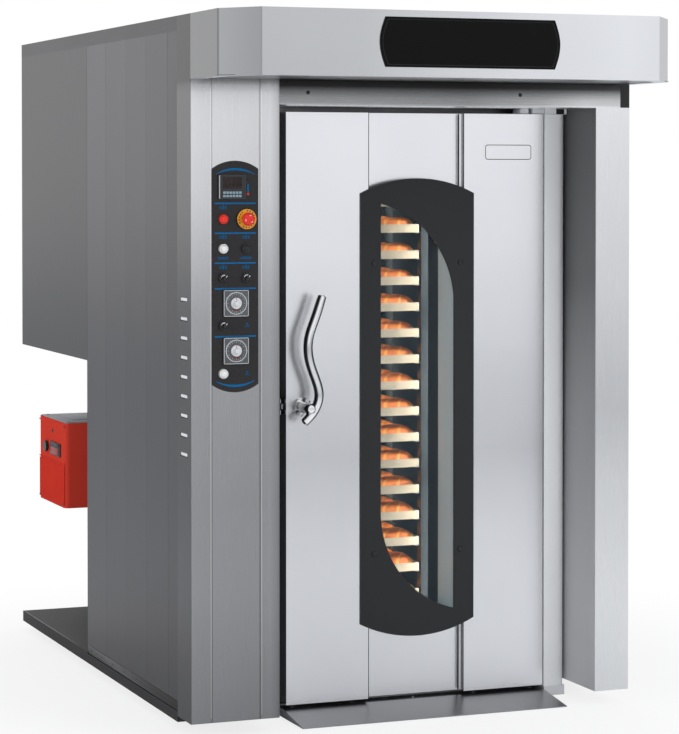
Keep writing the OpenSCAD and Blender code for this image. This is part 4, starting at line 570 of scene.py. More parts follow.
shape = bmesh.new()
outline = [(2.0, -2.0), (2.0, -260.0), (94.0, -358.0), (1366.0, -358.0), (1458.0, -260.0), (1458.0, -2.0)]
under = shape.faces.new([shape.verts.new(oven(x, y, 1967.6)) for x, y in outline])
grown = bmesh.ops.extrude_face_region(shape, geom=[under])["geom"]
bmesh.ops.translate(shape, verts=[item for item in grown if isinstance(item, bmesh.types.BMVert)],
                    vec=(0.0, 0.0, 0.0012))
bmesh.ops.recalc_face_normals(shape, faces=shape.faces)
# The lining's ramps paint light and shade: a bright band across its middle, darker to the left and towards
# its front and back edges.
piece("canopy_underside", shape,
      steel("underside_steel", (0.50, 0.49, 0.49), roughness=0.3, grain="X", cloud=0.12,
            tones=[("X", [(0, 0.20), (240, 0.28), (520, 0.9), (1000, 0.8), (1460, 0.6)]),
                   ("Y", [(-360, 0.55), (-250, 1.0), (-120, 0.9), (-20, 0.3)])]), "cabinet")


def gloss(name, colour, roughness=0.12, coat=0.1, speck=0.04, shine=0.3):
    """Glossy moulded or printed plastic with faint haze and fine specks."""
    made, add, where = new_material(name)
    haze = noise(add, where, 30.0, 6.0)
    return finished(made, add, {
        "Specular IOR Level": shine, "Coat Weight": coat, "Coat Roughness": 0.06,
        "Base Color": blend(add, haze, shade(colour, 1.0 - speck), shade(colour, 1.0 + speck, speck * 0.02)),
        "Roughness": ranged(add, haze, roughness, roughness + 0.12, 0.35, 0.75)})


badge_black = gloss("badge_black", (0.005, 0.005, 0.005), roughness=0.35, coat=0.0, shine=0.06)


def outline_sheet(shape, points, back, front):
    """Adds a flat sheet: an outline of (x, z) millimetres, from depth back forward to depth front."""
    ring = [shape.verts.new(oven(x, back, z)) for x, z in points]
    face = shape.faces.new(ring)
    grown = bmesh.ops.extrude_face_region(shape, geom=[face])["geom"]
    raised = [item for item in grown if isinstance(item, bmesh.types.BMVert)]
    bmesh.ops.translate(shape, verts=raised, vec=(0.0, (front - back) / 1000.0, 0.0))
    bmesh.ops.recalc_face_normals(shape, faces=shape.faces)


def bowed(x0, x1, z0, z1, bulge, steps=14):
    """An outline whose left and right ends bulge out by an arc."""
    def end(x, way, z_from, z_to):
        return [(x + way * bulge * math.sin(math.pi * k / steps), z_from + (z_to - z_from) * k / steps)
                for k in range(steps + 1)]
    return end(x0, -1, z1, z0) + end(x1, 1, z0, z1)


shape = bmesh.new()
outline_sheet(shape, bowed(471.8, 1014.2, 1994.2, 2139.8, 17.5), -370.2, -373.6)
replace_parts(piece("badge_face", shape, badge_black, "cabinet"), "badge_plate")
shape = bmesh.new()
outer = bowed(478.0, 1008.0, 2000.0, 2134.0, 17.0)
inner = bowed(481.0, 1005.0, 2002.4, 2131.6, 17.0)
rings = [[shape.verts.new(oven(x, -373.9, z)) for x, z in ring] for ring in (outer, inner)]
edges = [shape.edges.new((ring[k - 1], ring[k])) for ring in rings for k in range(len(ring))]
bmesh.ops.bridge_loops(shape, edges=edges)
bmesh.ops.recalc_face_normals(shape, faces=shape.faces)
border = piece("badge_border", shape, steel("badge_line", (0.035, 0.035, 0.036), grain="X"), "cabinet")
thick = border.modifiers.new("ink", "SOLIDIFY")
thick.thickness = 0.0003
thick.offset = -1.0

# ---- Control panel
# A printed foil on a black plate with arched ends: blue rules part its rows, with small blue signs over
# the switches. Glossy rings carry the caps; two dial timers and a controller with keys are let in.
dress("control_panel", gloss("panel_foil", (0.018, 0.016, 0.017), roughness=0.25, coat=0.0))
print_blue = gloss("print_blue", (0.0, 0.125, 0.33), roughness=0.4, shine=0.05)
faint_blue = gloss("faint_blue", (0.006, 0.075, 0.175), roughness=0.4, shine=0.05)
print_red = gloss("print_red", (0.62, 0.03, 0.02), roughness=0.3)
front_of_panel = -3.0
ink_face = -3.25


def ink(shape, x0, x1, z0, z1, **edges):
    """Adds a printed bar, its back sunk a little into the foil."""
    plank(shape, (x0, ink_face, z0), (x1, front_of_panel + 0.1, z1), **edges)


def arc_band(shape, x0, x1, z_end, rise, width):
    """Adds a printed arc between x0 and x1 whose middle rises by rise."""
    half = (x1 - x0) / 2.0
    radius = (half * half + rise * rise) / (2.0 * abs(rise))
    way = 1.0 if rise > 0 else -1.0
    spread = math.asin(half / radius)
    centre = z_end + rise - way * radius
    upper, lower = [], []
    for k in range(25):
        angle = -spread + 2.0 * spread * k / 24
        upper.append((x0 + half + radius * math.sin(angle), centre + way * radius * math.cos(angle)))
        thin = radius - width * math.cos(angle / spread * math.pi / 2.2)
        lower.append((x0 + half + thin * math.sin(angle), centre + way * thin * math.cos(angle)))
    outline_sheet(shape, upper + lower[::-1], front_of_panel, ink_face)


shape = bmesh.new()
arc_band(shape, 77.0, 201.0, 1684.0, 18.0, 6.5)
arc_band(shape, 77.0, 201.0, 1067.0, -18.0, 6.5)
for z in (1597.0, 1508.0, 1419.0, 1343.0, 1200.0):
    ink(shape, 74.0, 204.0, z - 2.1, z + 2.1, bevel=0.1, segments=1)
ink(shape, 177.0, 182.0, 1630.0, 1655.0)
piece("panel_print_blue", shape, print_blue, "cabinet")
shape = bmesh.new()
for x, z in ((101.0, 1583.0), (101.0, 1495.0), (173.0, 1495.0), (101.0, 1405.0), (173.0, 1405.0)):
    for k, tall in enumerate((5.0, 8.5, 6.5)):
        ink(shape, x - 12.0 + 8.4 * k, x - 6.0 + 8.4 * k, z - tall / 2, z + tall)
for x, z in ((101.0, 1434.0), (173.0, 1434.0)):
    for k in range(5):
        ink(shape, x - 17.0 + 7.0 * k, x - 11.4 + 7.0 * k, z - 4.0, z + 4.0)
for x, z in ((176.0, 1233.0), (176.0, 1089.0)):
    ink(shape, x - 8.0, x + 8.0, z - 5.0, z - 2.0)
    ink(shape, x - 3.5, x + 3.5, z + 0.5, z + 7.0)
piece("panel_signs", shape, faint_blue, "cabinet")
shape = bmesh.new()
turned(shape, [(0.0, 0.25), (4.0, 0.25), (4.2, 0.0)], (179.5, front_of_panel, 1625.0), (0, -1, 0), steps=20)
piece("panel_print_red", shape, print_red, "cabinet")

instrument_black = enamel("instrument_black", (0.03, 0.03, 0.033), roughness=0.5, coat=0.0)
dress("panel_instruments", instrument_black)

timers = ((140.0, 1299.0), (140.0, 1157.0))
dial_face = -9.0
planks("timer_faces", [((x - 37.5, -9.15, z - 37.5), (x + 37.5, -8.8, z + 37.5), 0.1, 1) for x, z in timers],
       steel("dial_face_grey", (0.115, 0.12, 0.125), roughness=0.5, metallic=0.4, cloud=0.5))


def on_dial(centre, radius, angle):
    """The (x, z) at a radius about centre; the angle runs clockwise from the top."""
    return centre[0] + radius * math.sin(angle), centre[1] + radius * math.cos(angle)


def dial_mark(shape, centre, inner, outer, angle, spread, back, front):
    """Adds a flat block between two radii, from an angle over a spread."""
    outline_sheet(shape, [on_dial(centre, radius, angle + turn) for radius, turn in
                          ((inner, 0.0), (outer, 0.0), (outer, spread), (inner, spread))], back, front)


shape = bmesh.new()
for x, z in timers:
    turned(shape, [(33.4, 0.0), (33.4, 1.4), (31.2, 1.6), (31.2, 0.0)], (x, dial_face, z), (0, -1, 0),
           steps=48)
    for k in range(24):
        angle = math.tau * k / 24
        low = Vector(on_dial((x, z), 26.5 if k % 2 else 24.0, angle))
        high = Vector(on_dial((x, z), 29.0, angle))
        across = Vector((math.cos(angle), -math.sin(angle))) * 0.45
        outline_sheet(shape, [tuple(low - across), tuple(low + across), tuple(high + across),
                              tuple(high - across)], dial_face, -9.3)
    for x0, x1, z0, z1 in ((-39.0, 39.0, 37.4, 39.0), (-39.0, 39.0, -39.0, -37.4),
                           (-39.0, -37.4, -39.0, 39.0), (37.4, 39.0, -39.0, 39.0)):
        plank(shape, (x + x0, -9.4, z + z0), (x + x1, -8.9, z + z1))
for k in range(11):
    for timer in timers:
        x, z = on_dial(timer, 35.5, math.radians(-150.0 + 30.0 * k))
        turned(shape, [(0.0, 0.3), (0.9, 0.3), (1.0, 0.0)], (x, dial_face, z), (0, -1, 0), steps=8)
piece("timer_dials", shape, enamel("dial_print", (0.52, 0.54, 0.56), roughness=0.5, coat=0.0), "cabinet")

shape = bmesh.new()
for timer in timers:
    for k in range(9):
        dial_mark(shape, timer, 19.5, 23.0, math.radians(150.0 + 7.5 * k), 0.13, dial_face, -9.35)
piece("timer_red_scale", shape, gloss("scale_brown", (0.16, 0.035, 0.028), roughness=0.4), "cabinet")

planks("controller_window", [((98.5, -9.5, 1641.0), (157.5, -8.9, 1675.0), 0.3)],
       gloss("display_glass", (0.016, 0.007, 0.006), roughness=0.2))
planks("controller_frame", [((86.0, -9.6, 1680.3), (170.0, -8.9, 1681.5), 0.3),
                            ((86.0, -9.6, 1610.5), (170.0, -8.9, 1611.7), 0.3),
                            ((168.8, -9.6, 1610.5), (170.0, -8.9, 1681.5), 0.3)],
       enamel("controller_frame_grey", (0.060, 0.065, 0.070), roughness=0.4))
planks("controller_light_edge", [((86.0, -9.6, 1610.5), (89.4, -8.9, 1681.5), 0.3)],
       enamel("controller_edge_grey", (0.42, 0.44, 0.46), roughness=0.4))
planks("controller_keys", [((x, -10.4, z - 3.6), (x + 8.5, -8.9, z + 3.6), 0.9) for z in (1629.0, 1619.0)
                           for x in [98.5 + 10.0 * k for k in range(6)]],
       enamel("key_grey_blue", (0.24, 0.33, 0.38), roughness=0.5, coat=0.0))

# Seven-segment figures of the set and the measured heat, as strokes of a display that is off
digit_strokes = {"0": "abcdef", "2": "abged", "3": "abgcd", "5": "afgcd"}


def digit(shape, figure, x, z, width, height):
    """Adds the strokes of a figure whose lower left corner is at x and z."""
    half, thick = height / 2.0, height * 0.09
    strokes = {"a": (0, height, width, height), "g": (0, half, width, half), "d": (0, 0, width, 0),
               "f": (0, half, 0, height), "b": (width, half, width, height), "e": (0, 0, 0, half),
               "c": (width, 0, width, half)}
    for key in digit_strokes[figure]:
        x0, z0, x1, z1 = strokes[key]
        plank(shape, (x + x0 - thick, -9.75, z + z0 - thick), (x + x1 + thick, -9.45, z + z1 + thick))


shape = bmesh.new()
for k, figure in enumerate("230"):
    digit(shape, figure, 108.0 + 14.0 * k, 1660.0, 7.0, 11.0)
for k, figure in enumerate("235"):
    digit(shape, figure, 112.0 + 11.0 * k, 1646.0, 5.0, 8.0)
piece("controller_figures", shape, lit_glass("unlit_red_figures", (0.030, 0.009, 0.008), 0.0), "cabinet")

# ---- Switches on the panel
# Dark and coloured rings screwed to the plate, caps that are pressed in, selectors with a pale pointer
# and a pale crescent painted on each skirt as a highlight, and the emergency stop: a red mushroom head
# over a yellow disc.


def chrome(name, colour=(0.86, 0.87, 0.88), roughness=0.06, painted_reflections=False):
    """Polished plating with fine wipe marks; when asked, it paints reflections by the way each face points:
    dark flanks and a bright band down the middle.
    """
    made, add, where = new_material(name)
    wipes = noise(add, where, 25.0, 8.0)
    tone = blend(add, wipes, shade(colour, 0.9), [*colour, 1.0])
    if painted_reflections:
        # Painted reflections: the object-space normal picks dark and bright bands.
        facing = add("SeparateXYZ", {0: add("TexCoord").outputs["Normal"]}).outputs["X"]
        bands = add("ValToRGB", {"Fac": ranged(add, facing, 0.0, 1.0, -1.0, 1.0)})
        grade(bands, [(place, (grey, grey, grey)) for place, grey in
                      ((0.0, 0.05), (0.08, 0.10), (0.20, 0.03), (0.30, 0.80), (0.47, 1.0), (0.62, 0.95),
                       (0.70, 0.10), (0.84, 0.02), (0.94, 0.60), (1.0, 1.0))])
        tone = blend(add, 0.9, tone, bands.outputs["Color"], blend_type="MULTIPLY")
    return finished(made, add, {"Metallic": 1.0, "Base Color": tone,
                                "Roughness": ranged(add, wipes, roughness, roughness + 0.1)})


dress("switch_bezels", chrome("bezel_black_chrome", (0.05, 0.05, 0.053), roughness=0.2))
dress("stop_disc", gloss("stop_yellow", (0.80, 0.33, 0.02), roughness=0.3))
stop_place = (173.0, 1550.0)
switch_places = {"start_button": (101.0, 1550.0), "light_button": (101.0, 1462.0),
                 "steam_button": (173.0, 1462.0), "bell_button": (101.0, 1089.0),
                 "selector_1": (101.0, 1375.0), "selector_2": (173.0, 1375.0), "selector_3": (101.0, 1233.0)}
red_cap = gloss("red_cap", (0.78, 0.035, 0.02), roughness=0.2)
white_cap = gloss("white_cap", (0.80, 0.80, 0.78), roughness=0.25)
black_cap = gloss("black_cap", (0.016, 0.016, 0.017), roughness=0.25)
cap_finish = {"start_button": (red_cap, "button_red"), "light_button": (white_cap, "button_white"),
              "steam_button": (black_cap, "button_black"), "bell_button": (white_cap, "button_white")}
cap_outline = [(0.0, 15.3), (3.0, 15.25), (6.0, 15.0), (8.3, 14.4), (9.6, 13.2), (9.9, 11.8), (9.9, 1.3),
               (7.9, 1.1), (7.9, -27.0), (0.0, -27.0)]
for name, (finish, slot_name) in cap_finish.items():
    x, z = switch_places[name]
    shape = bmesh.new()
    turned(shape, cap_outline, (x, -0.5, z), (0, -1, 0), steps=40)
    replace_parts(piece(name + "_cap", shape, finish, name), name)

dark_ring = gloss("dark_ring", (0.030, 0.031, 0.033), roughness=0.2)
ring_finish = {"start_button": (red_cap, "button_red"), "light_button": (white_cap, "button_white"),
               "bell_button": (white_cap, "button_white")}
for name, (x, z) in [*switch_places.items(), ("stop", stop_place)]:
    finish, slot_name = ring_finish.get(name, (dark_ring, "chrome"))
    shape = bmesh.new()
    turned(shape, [(10.4, 0.0), (10.4, 8.6), (11.0, 9.4), (12.4, 9.0), (14.2, 6.4), (15.1, 3.0), (15.1, 0.0)],
           (x, front_of_panel, z), (0, -1, 0), steps=40)
    piece(name + "_ring", shape, finish, "cabinet")

selector_black = gloss("selector_black", (0.020, 0.020, 0.022), roughness=0.22)
pale_mark_and_highlight = enamel("pale_mark_and_highlight", (0.80, 0.80, 0.78), roughness=0.4, coat=0.0)
pointer_turn = math.radians(35.0)
for name in ("selector_1", "selector_2", "selector_3"):
    x, z = switch_places[name]
    dress(name, selector_black)
    shape = bmesh.new()
    plank(shape, (x - 3.6, -26.0, z - 9.2), (x + 3.6, -12.6, z + 9.2), bevel=1.4, segments=3)
    turned(shape, [(9.9, 0.0), (9.9, 2.4), (8.8, 3.6), (0.0, 3.6)], (x, -10.2, z), (0, -1, 0), steps=32)
    spin = Matrix.Translation(oven(x, 0, z)) @ Matrix.Rotation(pointer_turn, 4, "Y")
    shape.transform(spin @ Matrix.Translation(-oven(x, 0, z)))
    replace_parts(piece(name + "_grip", shape, selector_black, name), name)
    shape = bmesh.new()
    plank(shape, (x - 0.8, -26.4, z + 3.0), (x + 0.8, -25.6, z + 9.0), bevel=0.3)
    # The pale crescent along the skirt is a painted highlight.
    swing = [(k / 16, math.radians(-120.0 + 150.0 * k / 16)) for k in range(17)]
    edge = [on_dial((x, z), 9.9, angle) for _, angle in swing]
    edge += [on_dial((x, z), 9.7 - 2.6 * math.sin(math.pi * part), angle) for part, angle in reversed(swing)]
    outline_sheet(shape, edge, -13.0, -14.0)
    shape.transform(spin @ Matrix.Translation(-oven(x, 0, z)))
    piece(name + "_pointer_and_highlight", shape, pale_mark_and_highlight, name)

head_outline = [(0.0, 36.0), (8.0, 35.6), (14.0, 34.0), (18.0, 31.0), (19.8, 27.0), (19.6, 23.6),
                (17.0, 22.0), (9.0, 21.8), (8.0, 21.0), (8.0, -27.0), (0.0, -27.0)]
shape = bmesh.new()
turned(shape, head_outline, (stop_place[0], 0.0, stop_place[1]), (0, -1, 0), steps=48)
stop_red = gloss("stop_red", (0.75, 0.028, 0.018), roughness=0.18)
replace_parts(piece("stop_mushroom", shape, stop_red, "emergency_stop"), "stop_head")
shape = bmesh.new()
for k in range(3):
    arc = [math.tau * k / 3 + 0.5 * j / 6 for j in range(7)]
    points = [on_dial(stop_place, 12.5, angle) for angle in arc]
    points += [on_dial(stop_place, 10.8, angle) for angle in reversed(arc)]
    outline_sheet(shape, points, -34.2, -34.9)
piece("stop_turn_marks", shape, pale_mark_and_highlight, "emergency_stop")
shape = bmesh.new()
for k in range(18):
    if k % 6 != 5:
        dial_mark(shape, stop_place, 23.5, 27.0, math.tau * k / 18, 0.14, -11.2, -11.5)
piece("stop_disc_marks", shape, black_cap, "cabinet")

knob_grey = enamel("knob_grey", (0.66, 0.67, 0.68), roughness=0.45, coat=0.0)
for name, (x, z) in zip(("timer_knob_1", "timer_knob_2"), timers):
    shape = bmesh.new()
    turned(shape, [(0.0, 14.2), (6.6, 14.1), (7.4, 13.3), (8.2, 3.4), (9.2, 2.6), (16.2, 2.2), (16.9, 1.2),
                   (16.9, 0.0), (0.0, 0.0)], (x, -9.3, z), (0, -1, 0), steps=40)
    for k in range(20):
        rib_x, rib_z = on_dial((x, z), 8.0, math.tau * k / 20)
        turned(shape, [(0.0, 9.6), (0.5, 9.4), (0.6, 0.0)], (rib_x, -12.4, rib_z), (0, -1, 0), steps=6)
    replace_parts(piece(name + "_dial", shape, knob_grey, name), name)
    planks(name + "_mark", [((x - 0.8, -12.1, z + 9.5), (x + 0.8, -11.4, z + 16.0))], print_red,
           name)

# ---- Ramp
# A folded stainless sheet leads the trolley's wheels over the sill; it is screwed to the floor slab.
dress("entry_ramp", steel("ramp_steel", (0.37, 0.37, 0.385), roughness=0.3, grain="X", cloud=0.10))
shape = bmesh.new()
for x in (400.0, 600.0, 810.0, 1020.0, 1220.0):
    screw(shape, (x, 222.0, 25.8), (0, 0, 1), radius=5.5, height=1.8)
piece("ramp_screws", shape, zinc, "cabinet")

# ---- Door leaf
# Two raised skins with a sunk channel between them, folded from one sheet and closed by an inner skin
# over mineral wool. A small raised plate near the top is bare; a silicone hose seals the opening.
# The Z ramp paints shade on the leaf: darker through its lower middle, lightest near the top.
dress("door_skin", steel(
    "door_steel", (0.95, 0.95, 0.975), roughness=0.24,
    tones=[("Z", [(37, 0.88), (350, 0.76), (800, 0.66), (1150, 0.90), (1450, 1.0), (1876, 1.0)])]))
# The hinge post's white enamel is painted light: it stands for the bright reflection on its face.
dress("hinge_post", enamel("hinge_post_painted_bright", (0.99, 0.99, 0.99), roughness=0.38, spread=0.01, shine=0.7))


def rubber(name, colour=(0.02, 0.02, 0.021), roughness=0.75):
    """Soft seal or wheel rubber with a dusty, finely pored skin."""
    made, add, where = new_material(name)
    dust = noise(add, where, 12.0, 5.0)
    return finished(made, add, {
        "Base Color": blend(add, dust, [*colour, 1.0], [part * 2.2 + 0.01 for part in colour] + [1.0]),
        "Roughness": ranged(add, dust, roughness - 0.1, roughness + 0.15),
        "Normal": bump(add, noise(add, where, 600.0), 0.4, 0.0005)})


dress("door_seal", rubber("silicone_seal"))

# Black lines along the channel's edges and in its inner corner are painted shade in the folds.
planks("channel_shade_lines", [((973.9, 198.4, 38.0), (976.3, 202.0, 1875.0)),
                         ((967.5, 226.6, 38.0), (971.5, 227.9, 1875.0)),
                         ((648.1, 198.6, 38.0), (650.6, 199.6, 1875.0))],
       enamel("channel_shade_black", (0.018, 0.018, 0.019), roughness=0.6), "door")


def rounded(x0, x1, z0, z1, radius, steps=6):
    """An outline with rounded corners."""
    left, right, low, high = x0 + radius, x1 - radius, z0 + radius, z1 - radius
    arcs = [(x, z, math.radians(first + 90.0 * k / steps)) for x, z, first in
            ((right, high, 0), (left, high, 90), (left, low, 180), (right, low, 270))
            for k in range(steps + 1)]
    return [(x + radius * math.cos(angle), z + radius * math.sin(angle)) for x, z, angle in arcs]


def rim(shape, outer, inner, depth):
    """Adds a flat band between two outlines."""
    rings = [[shape.verts.new(oven(x, depth, z)) for x, z in ring] for ring in (outer, inner)]
    edges = [shape.edges.new((ring[k - 1], ring[k])) for ring in rings for k in range(len(ring))]
    band = bmesh.ops.bridge_loops(shape, edges=edges)["faces"]
    grown = bmesh.ops.extrude_face_region(shape, geom=band)["geom"]
    raised = [item for item in grown if isinstance(item, bmesh.types.BMVert)]
    bmesh.ops.translate(shape, verts=raised, vec=(0.0, -0.0007, 0.0))
    bmesh.ops.recalc_face_normals(shape, faces=shape.faces)


# The dark band between the two pale rims is painted shade standing for a groove.
for name, inset, wide, grey in (("plate_rim", 0.0, 3.0, 0.98), ("plate_groove_shade", 3.0, 2.6, 0.10),
                                ("plate_inner_rim", 5.2, 2.0, 0.98)):
    outer, inner = [rounded(1045.4 + step, 1213.6 - step, 1726.9 + step, 1781.1 - step, 12.0 - step)
                    for step in (inset, inset + wide)]
    shape = bmesh.new()
    rim(shape, outer, inner, 196.5)
    piece("bare_" + name, shape, steel(name + "_steel", (grey, grey, grey), roughness=0.2), "door")

# The black strip beside the hinge post is painted shadow in the gap there.
planks("hinge_strip_shadow", [((1254.6, 210.8, 40.0), (1258.6, 212.4, 1874.0))],
       enamel("hinge_gap_painted_shadow", (0.012, 0.012, 0.013), roughness=0.6, coat=0.0), "door")

# ---- Window
# A charcoal plate with a shaped opening is bolted over the channel on four domed bolts. Behind it two
# panes close a polished tunnel that looks through the door into the chamber.
dress("window_plate", enamel("charcoal_enamel", (0.025, 0.026, 0.028), roughness=0.42, coat=0.0, shine=0.18))
bolt_black = enamel("bolt_black", (0.018, 0.018, 0.02), roughness=0.3)
shape = bmesh.new()
for x in (666.5, 961.5):
    for z in (492.5, 1404.5):
        turned(shape, [(0.0, 3.4), (2.6, 3.4), (2.9, 5.0), (5.2, 4.7), (7.6, 3.2), (8.5, 1.0), (8.5, 0.0),
                       (4.0, 0.0), (4.0, -35.0), (0.0, -35.0)], (x, 193.0, z), (0, -1, 0), steps=28)
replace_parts(piece("window_dome_bolts", shape, bolt_black, "door"), "window_bolts")
dress("window_tunnel", steel("polished_tunnel_steel", (0.60, 0.72, 0.79), roughness=0.5, metallic=0.3))


def pane(name, colour, alpha):
    """Flat heat-resisting glass with a faint tint and a few smears."""
    made, add, where = new_material(name)
    smears = ranged(add, noise(add, where, 5.0, 8.0), 0.02, 0.12, 0.4, 0.8)
    return finished(made, add, {"Base Color": (*colour, 1.0), "Alpha": alpha, "Specular IOR Level": 0.15,
                                "Roughness": smears})


dress("window_glass", pane("oven_glass", (0.10, 0.14, 0.17), 0.08))

planks("pane_gasket", [((x - 0.6, 203.6, 303.0), (x + 0.6, 206.4, 1594.0)) for x in (685.2, 942.8)]
       + [((685.8, 203.6, z - 0.6), (942.2, 206.4, z + 0.6)) for z in (303.2, 1593.8)],
       rubber("pane_rubber"), "door")

# ---- Handle and latch
# A chromed bar bent in an S stands in front of the leaf on a round rose; its spindle turns the latch in
# the case behind. Both are cast, ground and plated; the rose is held by two screws.
# The handle, its rose and the latch case carry painted reflections: dark flanks and a bright middle band.
handle_chrome = chrome("handle_chrome", (0.97, 0.97, 0.98), roughness=0.08, painted_reflections=True)
dress("latch_bolt", steel("ground_latch_steel", (0.62, 0.63, 0.65), grain="X"))
bar_line = [(470.0, 1308.0), (463.0, 1288.0), (451.0, 1250.0), (430.0, 1200.0), (422.0, 1164.0),
            (424.0, 1122.0), (435.0, 1084.0), (451.0, 1046.0), (461.0, 1012.0), (458.0, 982.0),
            (445.0, 956.0), (429.0, 936.0), (411.0, 920.0)]
curve = bpy.data.curves.new("handle_bar_line", "CURVE")
curve.dimensions = "3D"
curve.bevel_depth = 0.0148
curve.bevel_resolution = 6
curve.use_fill_caps = True
curve.resolution_u = 8
line = curve.splines.new("NURBS")
line.points.add(len(bar_line) - 1)
for point, (x, z) in zip(line.points, bar_line):
    point.co = (*oven(x, 136.0, z), 1.0)
line.use_endpoint_u = True
line.order_u = 4
line.points[0].radius = 0.9
line.points[-1].radius = 0.9
holder = bpy.data.objects.new("handle_bar_line", curve)
bpy.context.scene.collection.objects.link(holder)
bpy.context.view_layer.update()
bar_mesh = bpy.data.meshes.new_from_object(holder.evaluated_get(bpy.context.evaluated_depsgraph_get()))
bpy.data.objects.remove(holder)
shape = bmesh.new()
shape.from_mesh(bar_mesh)
bpy.data.meshes.remove(bar_mesh)
bmesh.ops.remove_doubles(shape, verts=shape.verts, dist=1e-5)
bmesh.ops.recalc_face_normals(shape, faces=shape.faces)
cap = [(0.0, 6.0), (5.0, 5.4), (9.5, 3.4), (12.3, 0.8), (13.2, -1.5)]
turned(shape, cap, (469.6, 136.0, 1306.5), (0.33, 0.0, 0.94), steps=24)
turned(shape, cap, (412.0, 136.0, 921.0), (-0.70, 0.0, -0.71), steps=24)
turned(shape, [(0.0, 20.0), (11.0, 19.0), (15.6, 15.0), (17.4, 8.0), (17.9, 0.0), (17.9, -44.0),
               (17.0, -49.0), (14.0, -51.0), (7.0, -51.0), (7.0, -96.0), (0.0, -96.0)],
       (427.0, 135.0, 962.0), (0, -1, 0), steps=40)
plank(shape, (426.0, 127.5, 951.0), (456.0, 144.5, 975.0), bevel=5.0, segments=3)
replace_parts(piece("s_handle", shape, handle_chrome, "handle"), "handle_lever")

shape = bmesh.new()
turned(shape, [(7.6, 12.0), (20.0, 11.8), (25.0, 10.6), (28.4, 7.6), (29.5, 3.6), (29.5, 0.0)],
       (427.0, 198.0, 962.0), (0, -1, 0), steps=56)
for x in (406.5, 447.5):
    screw(shape, (x, 187.6, 962.0), (0, -1, 0), radius=3.4, height=1.6)
piece("handle_rose", shape, handle_chrome, "door")
dress("latch_housing", handle_chrome)

# ---- Burner
# A gas burner on a square flange at the furnace mouth: red enamelled cover with a sunk upper face and a
# raised lower panel, a grey cast top, a reset knob, a small control module and a cover screw.
dress("burner", enamel("burner_red", (0.66, 0.055, 0.034), roughness=0.5, peel=0.03, coat=0.0, shine=0.0))
dress("burner_reset", black_cap)
planks("burner_raised_panel", [((20.4, 1506.0, 514.0), (24.0, 1841.0, 655.0), 3.0, 3),
                               ((20.8, 1501.0, 659.0), (23.0, 1846.0, 663.0), 0.8)],
       enamel("burner_red_panel", (0.63, 0.042, 0.026), roughness=0.45, coat=0.0, shine=0.0))
shape = bmesh.new()
plank(shape, (26.0, 1502.0, 801.0), (231.0, 1845.0, 809.0), bevel=4.0, segments=3)
plank(shape, (70.0, 1576.0, 808.0), (200.0, 1776.0, 811.0), bevel=1.4, segments=2)
for y in (1526.0, 1821.0):
    for x in (46.0, 210.0):
        screw(shape, (x, y, 808.8), (0, 0, 1), radius=6.0, height=2.4)
cast_grey = enamel("cast_grey_top", (0.38, 0.39, 0.41), roughness=0.5, peel=0.15, metallic=0.6, coat=0.0)
piece("burner_cast_top", shape, cast_grey, "cabinet")
planks("burner_module", [((16.5, 1550.0, 681.0), (22.5, 1686.0, 728.0), 2.0),
                         ((14.0, 1560.0, 716.0), (17.5, 1620.0, 725.0), 1.0)],
       enamel("module_grey", (0.028, 0.028, 0.030), roughness=0.4, coat=0.0))
planks("burner_module_label", [((14.8, 1570.0, 686.0), (17.2, 1670.0, 710.0), 0.8)],
       enamel("module_red", (0.33, 0.05, 0.04), roughness=0.35))
shape = bmesh.new()
screw(shape, (21.6, 1663.0, 766.0), (-1, 0, 0), radius=7.0, height=3.4)
for y, z in ((1512.0, 520.0), (1835.0, 520.0), (1838.0, 794.0), (1509.0, 794.0)):
    screw(shape, (20.4 if z < 600 else 21.8, y, z), (-1, 0, 0), radius=4.0, height=2.0)
piece("burner_screws", shape, steel("dull_screw_steel", (0.12, 0.12, 0.12), roughness=0.5), "cabinet")
dress("burner_flange", enamel("burner_cast_iron", (0.10, 0.10, 0.105), roughness=0.7, peel=0.3, spread=0.25,
                              coat=0.0))
dress("gas_stub", steel("drawn_brass", (0.72, 0.52, 0.20), roughness=0.3, grain="Y", cloud=0.1))
shape = bmesh.new()
x, y, z = 16.6, 1733.0, 705.0
turned(shape, [(0.0, 6.6), (14.0, 6.4), (18.0, 5.4), (19.4, 3.4), (19.4, 0.0), (0.0, 0.0)], (x, y, z),
       (-1, 0, 0), steps=36)
for k in range(24):
    angle = math.tau * k / 24
    turned(shape, [(0.0, 4.8), (0.9, 4.6), (1.1, 0.0)],
           (x, y + 18.9 * math.cos(angle), z + 18.9 * math.sin(angle)), (-1, 0, 0), steps=6)
piece("reset_knob_grip", shape, black_cap, "burner_reset")

# ---- Turntable, shaft and rack
# The trolley stands on a turned steel disc and hangs at its head from a forked arm on the drive shaft.
# It is welded from square tube, with folded ledges for the trays, and rolls on four fork casters.
dress("turntable", steel("turned_disc_steel", (0.40, 0.41, 0.42), roughness=0.38, grain="X", cloud=0.2))
rack_steel = steel("rack_tube_steel", (0.075, 0.095, 0.110), roughness=0.3, cloud=0.15)
dress("rack_shaft", rack_steel)
dress("rack_frame", rack_steel)

